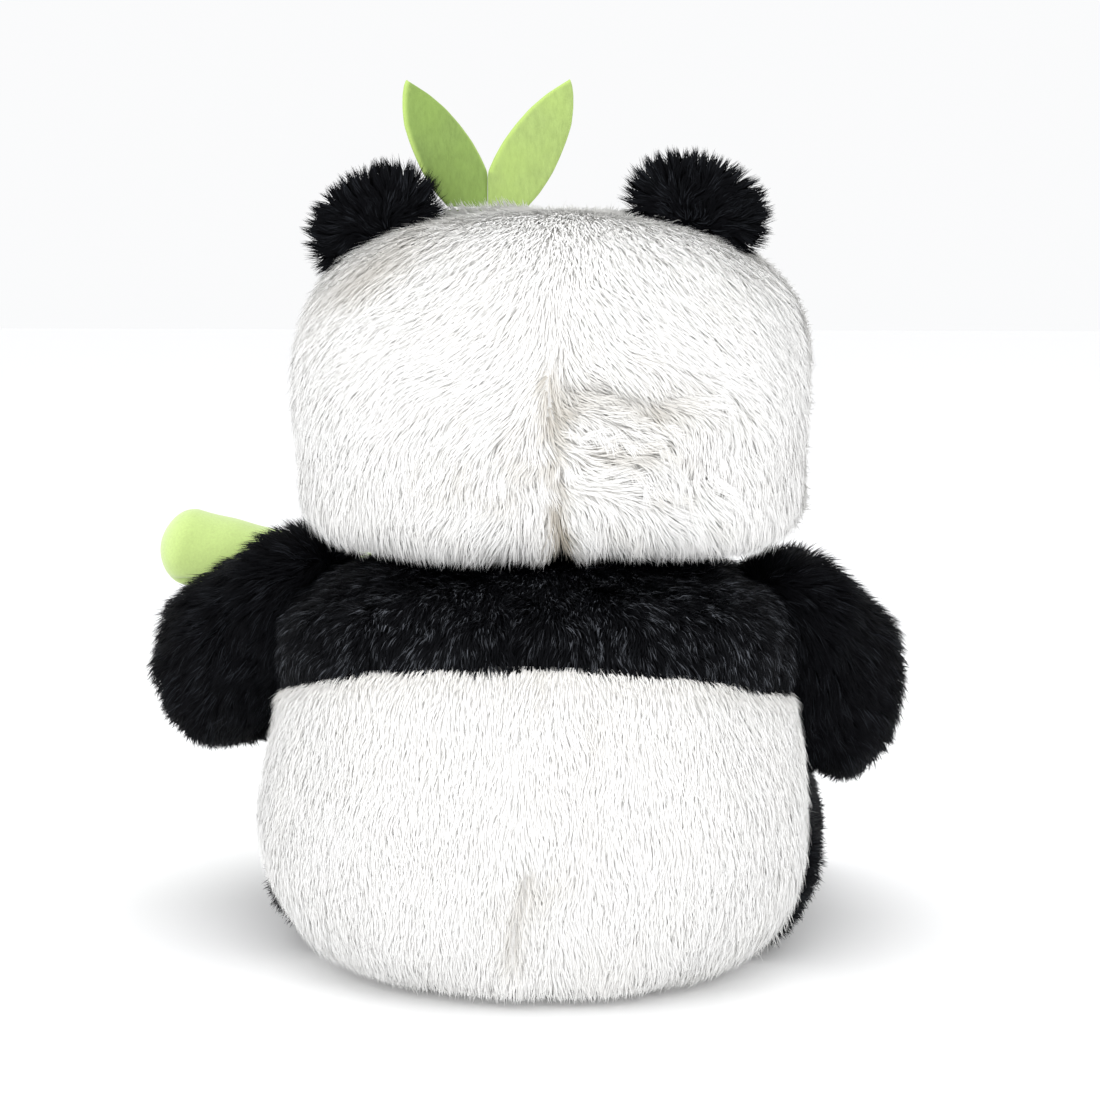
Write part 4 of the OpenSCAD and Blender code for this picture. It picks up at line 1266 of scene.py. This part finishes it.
def floor_clear(p, n, comb, length, lift, shade):
    """Leaves out strands that stand on the floor, and lays the lowest ones along it: below
    9 mm the comb loses part of its downward share and turns outwards."""
    low = smooth(9, 2, p[:, 2])[:, None]
    comb = comb * (1 - low * [0, 0, 0.7]) + unit(p * [1, 1, 0]) * low * 0.5
    keep = p[:, 2] > 1.2
    return p[keep], n[keep], comb[keep], length[keep], lift[keep], shade[keep]


def limb_pile(name, rows, way, seed, s, per_mm2, length, keep=None):
    """Black pile combed along a limb towards its end and down."""
    p, n, row = sow(rows, lie(rows), per_mm2, np.random.default_rng(seed), keep)
    i = np.clip(row.astype(int), 0, len(way) - 1)
    comb = way[i] - 0.45 * UP
    lift = 0.48 + 0.16 * waves(p, 18, seed + 5)
    high = p[:, 2] > 1.5
    strands(f"{name}_pile", name, "black", p[high], n[high], comb[high], length, lift[high],
            s.strand * 950, seed + 9, clump=0.6, clump_size=4.4, wild=0.4, flat=0.55)


class PANDA_OT_arms(bpy.types.Operator):
    """Builds both arms round the stick"""

    bl_idname = "panda.arms"
    bl_label = "Arms"

    def execute(self, context):
        s = pile_settings()
        for k, name in enumerate(("arm_left", "arm_right")):
            rows, way = limb(name)
            rows = rows + lie(rows) * (waves(rows, 32, 41 + k) * 0.8 - (0.4, 1.2)[k])[..., None]
            plush(f"{name}_skin", rows, rows[0].mean(0), rows[-1].mean(0), name, "black",
                  (f"{name}_outer", f"{name}_inner", f"{name}_stuffing"))
            limb_pile(name, rows, way, 110 + 10 * k, s, s.per_cm2 / 100, s.limb * 1000)
        return {"FINISHED"}


SOLE_RADIUS = 24


class PANDA_OT_legs(bpy.types.Operator):
    """Builds both legs with their sewn-on soles"""

    bl_idname = "panda.legs"
    bl_label = "Legs"

    def sole(self, name, lo, hi):
        """A round cushion: a sunk face with a raised ring near its rim, and a flat back."""
        centre = (lo + hi) / 2
        r = np.concatenate([np.linspace(0.1, 0.97, 14), [1.0, 1.0, 0.97]])[:, None]
        y = np.concatenate([np.full(14, lo[1]), [lo[1] + 0.9, hi[1] - 0.5, hi[1]]])[:, None]
        f = (np.arange(96) / 96 * TAU)[None]
        face = y < lo[1] + 0.5
        y = y + 0 * f + 1.2 * bell(r - 0.86, 0.05) * face - 0.6 * (1 - r ** 2) * face
        x, z = centre[0] + SOLE_RADIUS * r * np.cos(f), centre[2] + SOLE_RADIUS * r * np.sin(f)
        skin(f"{name}_sole_cloth", np.stack([x, y, z], -1), (centre[0], lo[1] - 0.6, centre[2]),
             (centre[0], hi[1], centre[2]), name, "sole_cloth", made("sole_cloth", sole_cloth),
             (f"{name}_sole",))

    def execute(self, context):
        s = pile_settings()
        toe = corner("leg_left_sole")[1][1]
        for k, name in enumerate(("leg_left", "leg_right")):
            rows, way = limb(name, end=0.7)
            rows = rows + lie(rows) * (waves(rows, 34, 51 + k) * 0.7 - 2.2)[..., None]
            rows[..., 1] = np.maximum(rows[..., 1], toe - 0.2)
            rows[..., 2] = np.maximum(rows[..., 2], 0.6)
            end = rows[-1].mean(0)
            end[1] = toe - 0.2
            plush(f"{name}_skin", rows, rows[0].mean(0), end, name, "black",
                  (f"{name}_outer", f"{name}_inner", f"{name}_stuffing"))
            lo, hi = corner(f"{name}_sole")
            centre = (lo + hi) / 2
            away = np.hypot(rows[..., 0] - centre[0], rows[..., 2] - centre[2])
            keep = ((rows[..., 1] > toe + 1.5) | (away > SOLE_RADIUS)).astype(float)
            limb_pile(name, rows, way, 130 + 10 * k, s, s.per_cm2 / 100 * 0.7, s.limb * 950, keep)
            self.sole(name, lo, hi)
        return {"FINISHED"}


def sole_cloth(name):
    """Short brushed cloth with a fine nap."""
    s, m = cloth_settings(), Cloth(name)
    nap = m.noise(900, 4.0, None, 0.7)
    base = m.blend(m.ramp(nap, (0.3, 0.0), (0.7, 1.0)), shade_of(s.sole, 0.35), shade_of(s.sole, 0.9))
    m.bump(nap, 0.6, 0.0005)
    return m.finish(base, 0.85, 0.0, Specular_IOR_Level=0.04)


def bamboo_velour(name):
    """Short-napped green cloth: fine nap, softly mottled, with painted shade in the pleats where it is
    gathered and in the crease.
    """
    s, m = cloth_settings(), Cloth(name)
    nap = m.noise(1100, 4.0, None, 0.7)
    base = m.blend(m.ramp(nap, (0.3, 0.0), (0.7, 1.0)), shade_of(s.bamboo, 0.86), tuple(s.bamboo))
    base = m.blend(m.ramp(m.noise(70, 3.0), (0.4, 0.0), (0.75, 0.35)), base, shade_of(s.bamboo, 1.15))
    # Painted shade: the rim mark darkens the pleats at the necks and the crease.
    base = m.blend(m.mark("rim"), base, shade_of(s.bamboo, 0.55))
    m.bump(nap, 0.35, 0.0004)
    return m.finish(base, 0.85, 0.5, Specular_IOR_Level=0.2)


def tie_thread(name):
    """Green tying thread."""
    s, m = cloth_settings(), Cloth(name)
    fibre = m.noise(1500, 2.0)
    base = m.blend(fibre, shade_of(s.thread, 0.7), shade_of(s.thread, 1.2))
    m.bump(fibre, 0.4, 0.0002)
    return m.finish(base, 0.6, 0.1)


STICK_LONG, STICK_RADIUS, STICK_NECK, SEGMENTS = 209, 15.4, 12.2, 4
STICK_SLOPE = np.radians(14)
STICK_AXIS = np.array([np.cos(STICK_SLOPE), 0, np.sin(STICK_SLOPE)])
STICK_SIDE = np.array([0, 1.0, 0])
STICK_UP = np.array([-np.sin(STICK_SLOPE), 0, np.cos(STICK_SLOPE)])
STICK_START = np.array([0, -97.0, 100.5]) - STICK_AXIS * 47


def domed(run, least, reach):
    """Radius at a distance from a segment's end: a quarter oval that rises from the least
    radius to the stick's over the reach."""
    rise = np.sqrt(np.clip(1 - (1 - np.clip(run / reach, 0, 1)) ** 2, 0, 1))
    return least + (STICK_RADIUS - least) * rise


class PANDA_OT_bamboo(bpy.types.Operator):
    """Builds the bamboo stick: four gathered velour segments and their ties"""

    bl_idname = "panda.bamboo"
    bl_label = "Bamboo"

    def segment(self, k, velour):
        """A stuffed tube, round at a free end and drawn in with pleats at a tied one."""
        long, last = STICK_LONG / SEGMENTS, SEGMENTS - 1
        f = (np.arange(120) / 120 * TAU)[None]
        x = long * (0.5 - 0.5 * np.cos(np.linspace(0, 1, 74)[1:-1] * np.pi))
        round_end, tied_end = (0.0, STICK_RADIUS * 0.8), (STICK_NECK, 9)
        rad = np.minimum(domed(x, *(tied_end if k else round_end)),
                         domed(long - x, *(tied_end if k < last else round_end)))[:, None]
        pull = (k > 0) * np.exp(-x / 6) + (k < last) * np.exp(-(long - x) / 6)
        pleat = 0.5 * np.cos(9 * f + 2 * np.sin(3 * f) + k) + 0.3 * np.cos(17 * f + k)
        rad = rad + pull[:, None] * pleat * 0.55 - 0.25
        rows = STICK_START + STICK_AXIS * (k * long + x)[:, None, None]
        rows = rows + STICK_SIDE * (rad * np.cos(f))[..., None] + STICK_UP * (rad * np.sin(f))[..., None]
        press, crease = 0.35 * waves(rows, 26, 61 + k), 0.0
        if k == last:
            # A crease runs up from the neck round the lower side of the last segment.
            turn = np.mod(f - np.radians(-52) + np.pi, TAU) - np.pi
            crease = bell(turn + 0.022 * (x[:, None] - 34), 0.15)
            crease = crease * (smooth(6, 22, x) * smooth(47, 36, x))[:, None]
            press = press - 2.6 * crease
        rows = rows + lie(rows) * press[..., None]
        a = STICK_START + STICK_AXIS * (k * long + (0.1 if k else 0))
        b = STICK_START + STICK_AXIS * ((k + 1) * long - (0.1 if k < last else 0))
        # Painted shade in the pleats at the tied ends and in the crease.
        painted_shade = np.clip(pull[:, None] * (0.35 - 0.5 * pleat) + 0.45 * crease, 0, 1) * np.ones_like(rad)
        nodes = (f"bamboo_segment_{k + 1}",) + (("bamboo_stuffing",) if k == 0 else ())
        skin(f"bamboo_segment_{k + 1}_velour", rows, a, b, "bamboo", "bamboo_velour", velour,
             nodes, {"rim": painted_shade})

    def tie(self, k, thread):
        """Three turns of thread side by side round a neck."""
        middle = STICK_START + STICK_AXIS * k * (STICK_LONG / SEGMENTS)
        g = np.linspace(0, TAU, 181)[:-1]
        out = STICK_SIDE * np.cos(g)[:, None] + STICK_UP * np.sin(g)[:, None]
        turns = [loop(middle + STICK_AXIS * lay * 0.7 + out * (STICK_NECK + 1.45 + 0.15 * lay),
                      middle, STICK_AXIS, 0.5) for lay in (-0.55, 0.15, 0.7)]
        obj = join(f"bamboo_tie_{k}_thread", turns, "bamboo", "tie_thread", thread)
        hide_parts(f"bamboo_tie_{k}")

    def execute(self, context):
        velour = made("bamboo_velour", bamboo_velour)
        for k in range(SEGMENTS):
            self.segment(k, velour)
        thread = made("tie_thread", tie_thread)
        for k in range(1, SEGMENTS):
            self.tie(k, thread)
        return {"FINISHED"}


def loop(ring, centre, axis, radius, around=10):
    """A closed thread ring: at each point of the ring a circle stands across it, with a
    two-ply ripple that winds along."""
    out = unit(ring - centre)
    n = len(ring)
    a = np.arange(around) / around * TAU
    g = np.arange(n) / n * TAU
    r = radius * (1 + 0.12 * np.cos(2 * a[None] + 40 * g[:, None]))
    rows = ring[:, None] + out[:, None] * (r * np.cos(a))[..., None] + axis * (r * np.sin(a))[..., None]
    i, j = np.meshgrid(np.arange(n), np.arange(around), indexing="ij")
    here, ahead, across = i * around, (i + 1) % n * around, (j + 1) % around
    quads = np.stack([here + j, here + across, ahead + across, ahead + j], -1).reshape(-1, 4)
    verts = rows.reshape(-1, 3)
    v = verts[quads]
    face = np.cross(v[:, 1] - v[:, 0], v[:, 2] - v[:, 1])
    mid = ring[quads[:, 0] // around]
    if np.sum(face * (v.mean(1) - mid)) < 0:
        quads = quads[:, ::-1]
    return verts, quads, np.zeros((0, 3), int)


class PANDA_OT_stage(bpy.types.Operator):
    """Builds the pale floor, the soft light and the camera"""

    bl_idname = "panda.stage"
    bl_label = "Stage"

    def execute(self, context):
        scene = bpy.context.scene
        scene.view_settings.view_transform = "Standard"
        scene.view_settings.look = "None"
        mesh = bpy.data.meshes.new("floor")
        far = 6.0
        mesh.from_pydata([(-far, -far, 0), (far, -far, 0), (far, far, 0), (-far, far, 0)], [], [(0, 1, 2, 3)])
        floor = bpy.data.objects.new("floor", mesh)
        scene.collection.objects.link(floor)
        paint = Cloth("floor_paint")
        base = paint.blend(paint.noise(3.0, 2.0), (0.970, 0.972, 0.975, 1), (0.975, 0.977, 0.980, 1))
        mesh.materials.append(paint.finish(base, 0.85, 0.0, Specular_IOR_Level=0.1, Emission_Strength=0.05))
        world = bpy.data.worlds.new("studio")
        scene.world = world
        world.use_nodes = True
        sky = world.node_tree.nodes["Background"]
        sky.inputs["Color"].default_value = (0.962, 0.965, 0.972, 1)
        sky.inputs["Strength"].default_value = 1.0
        for name, place, size, power, tint in (
                ("softbox_left", (0.85, 1.6, 0.80), 1.8, 10.2, (1.0, 0.99, 0.97)),
                ("softbox_right", (-0.95, 1.5, 0.75), 1.8, 9.3, (1.0, 0.985, 0.96)),
                ("softbox_top", (0.0, 0.1, 1.9), 1.8, 10.5, (0.97, 0.985, 1.0))):
            lamp = bpy.data.lights.new(name, "AREA")
            lamp.energy, lamp.size, lamp.color = power, size, tint
            obj = bpy.data.objects.new(name, lamp)
            obj.location = place
            obj.rotation_euler = (Vector((0, 0, 0.14)) - Vector(place)).to_track_quat("-Z", "Y").to_euler()
            scene.collection.objects.link(obj)
        lens = bpy.data.cameras.new("camera")
        lens.lens, lens.sensor_width = 85.2, 36.0
        camera = bpy.data.objects.new("camera", lens)
        a, e, away = np.radians(184), np.radians(7), 0.93
        back = Vector((np.sin(a) * np.cos(e), -np.cos(a) * np.cos(e), np.sin(e)))
        camera.location = Vector((HX * 0.001, 0, 0.1487)) + back * away
        camera.rotation_mode = "QUATERNION"
        camera.rotation_quaternion = (-back).to_track_quat("-Z", "Y")
        scene.collection.objects.link(camera)
        scene.camera = camera
        return {"FINISHED"}


class PANDA_PT_panel(bpy.types.Panel):
    """Lists the panda's settings and pieces"""

    bl_idname = "PANDA_PT_panel"
    bl_label = "Plush Panda"
    bl_space_type = "VIEW_3D"
    bl_region_type = "UI"
    bl_category = "Panda"

    def draw(self, context):
        """Draws a box for each group of settings, then a button for each operator."""
        for group in (context.scene.panda_pile, context.scene.panda_cloth):
            box = self.layout.box()
            for key in group.__annotations__:
                box.prop(group, key)
        for operator in OPERATORS:
            self.layout.operator(operator.bl_idname)


OPERATORS = (PANDA_OT_head, PANDA_OT_face, PANDA_OT_ears, PANDA_OT_leaves, PANDA_OT_body,
             PANDA_OT_arms, PANDA_OT_legs, PANDA_OT_bamboo, PANDA_OT_stage)
CLASSES = (PandaPile, PandaCloth, *OPERATORS, PANDA_PT_panel)


def register():
    """Registers the classes and gives the scene its settings."""
    for cls in CLASSES:
        bpy.utils.register_class(cls)
    bpy.types.Scene.panda_pile = bpy.props.PointerProperty(type=PandaPile)
    bpy.types.Scene.panda_cloth = bpy.props.PointerProperty(type=PandaCloth)


def unregister():
    """Takes the settings and classes away again."""
    del bpy.types.Scene.panda_pile
    del bpy.types.Scene.panda_cloth
    for cls in reversed(CLASSES):
        bpy.utils.unregister_class(cls)


def main():
    """Builds the stage and every piece."""
    register()
    bpy.ops.panda.stage()
    bpy.ops.panda.head()
    bpy.ops.panda.face()
    bpy.ops.panda.ears()
    bpy.ops.panda.leaves()
    bpy.ops.panda.body()
    bpy.ops.panda.arms()
    bpy.ops.panda.legs()
    bpy.ops.panda.bamboo()


if __name__ == "__main__":
    main()
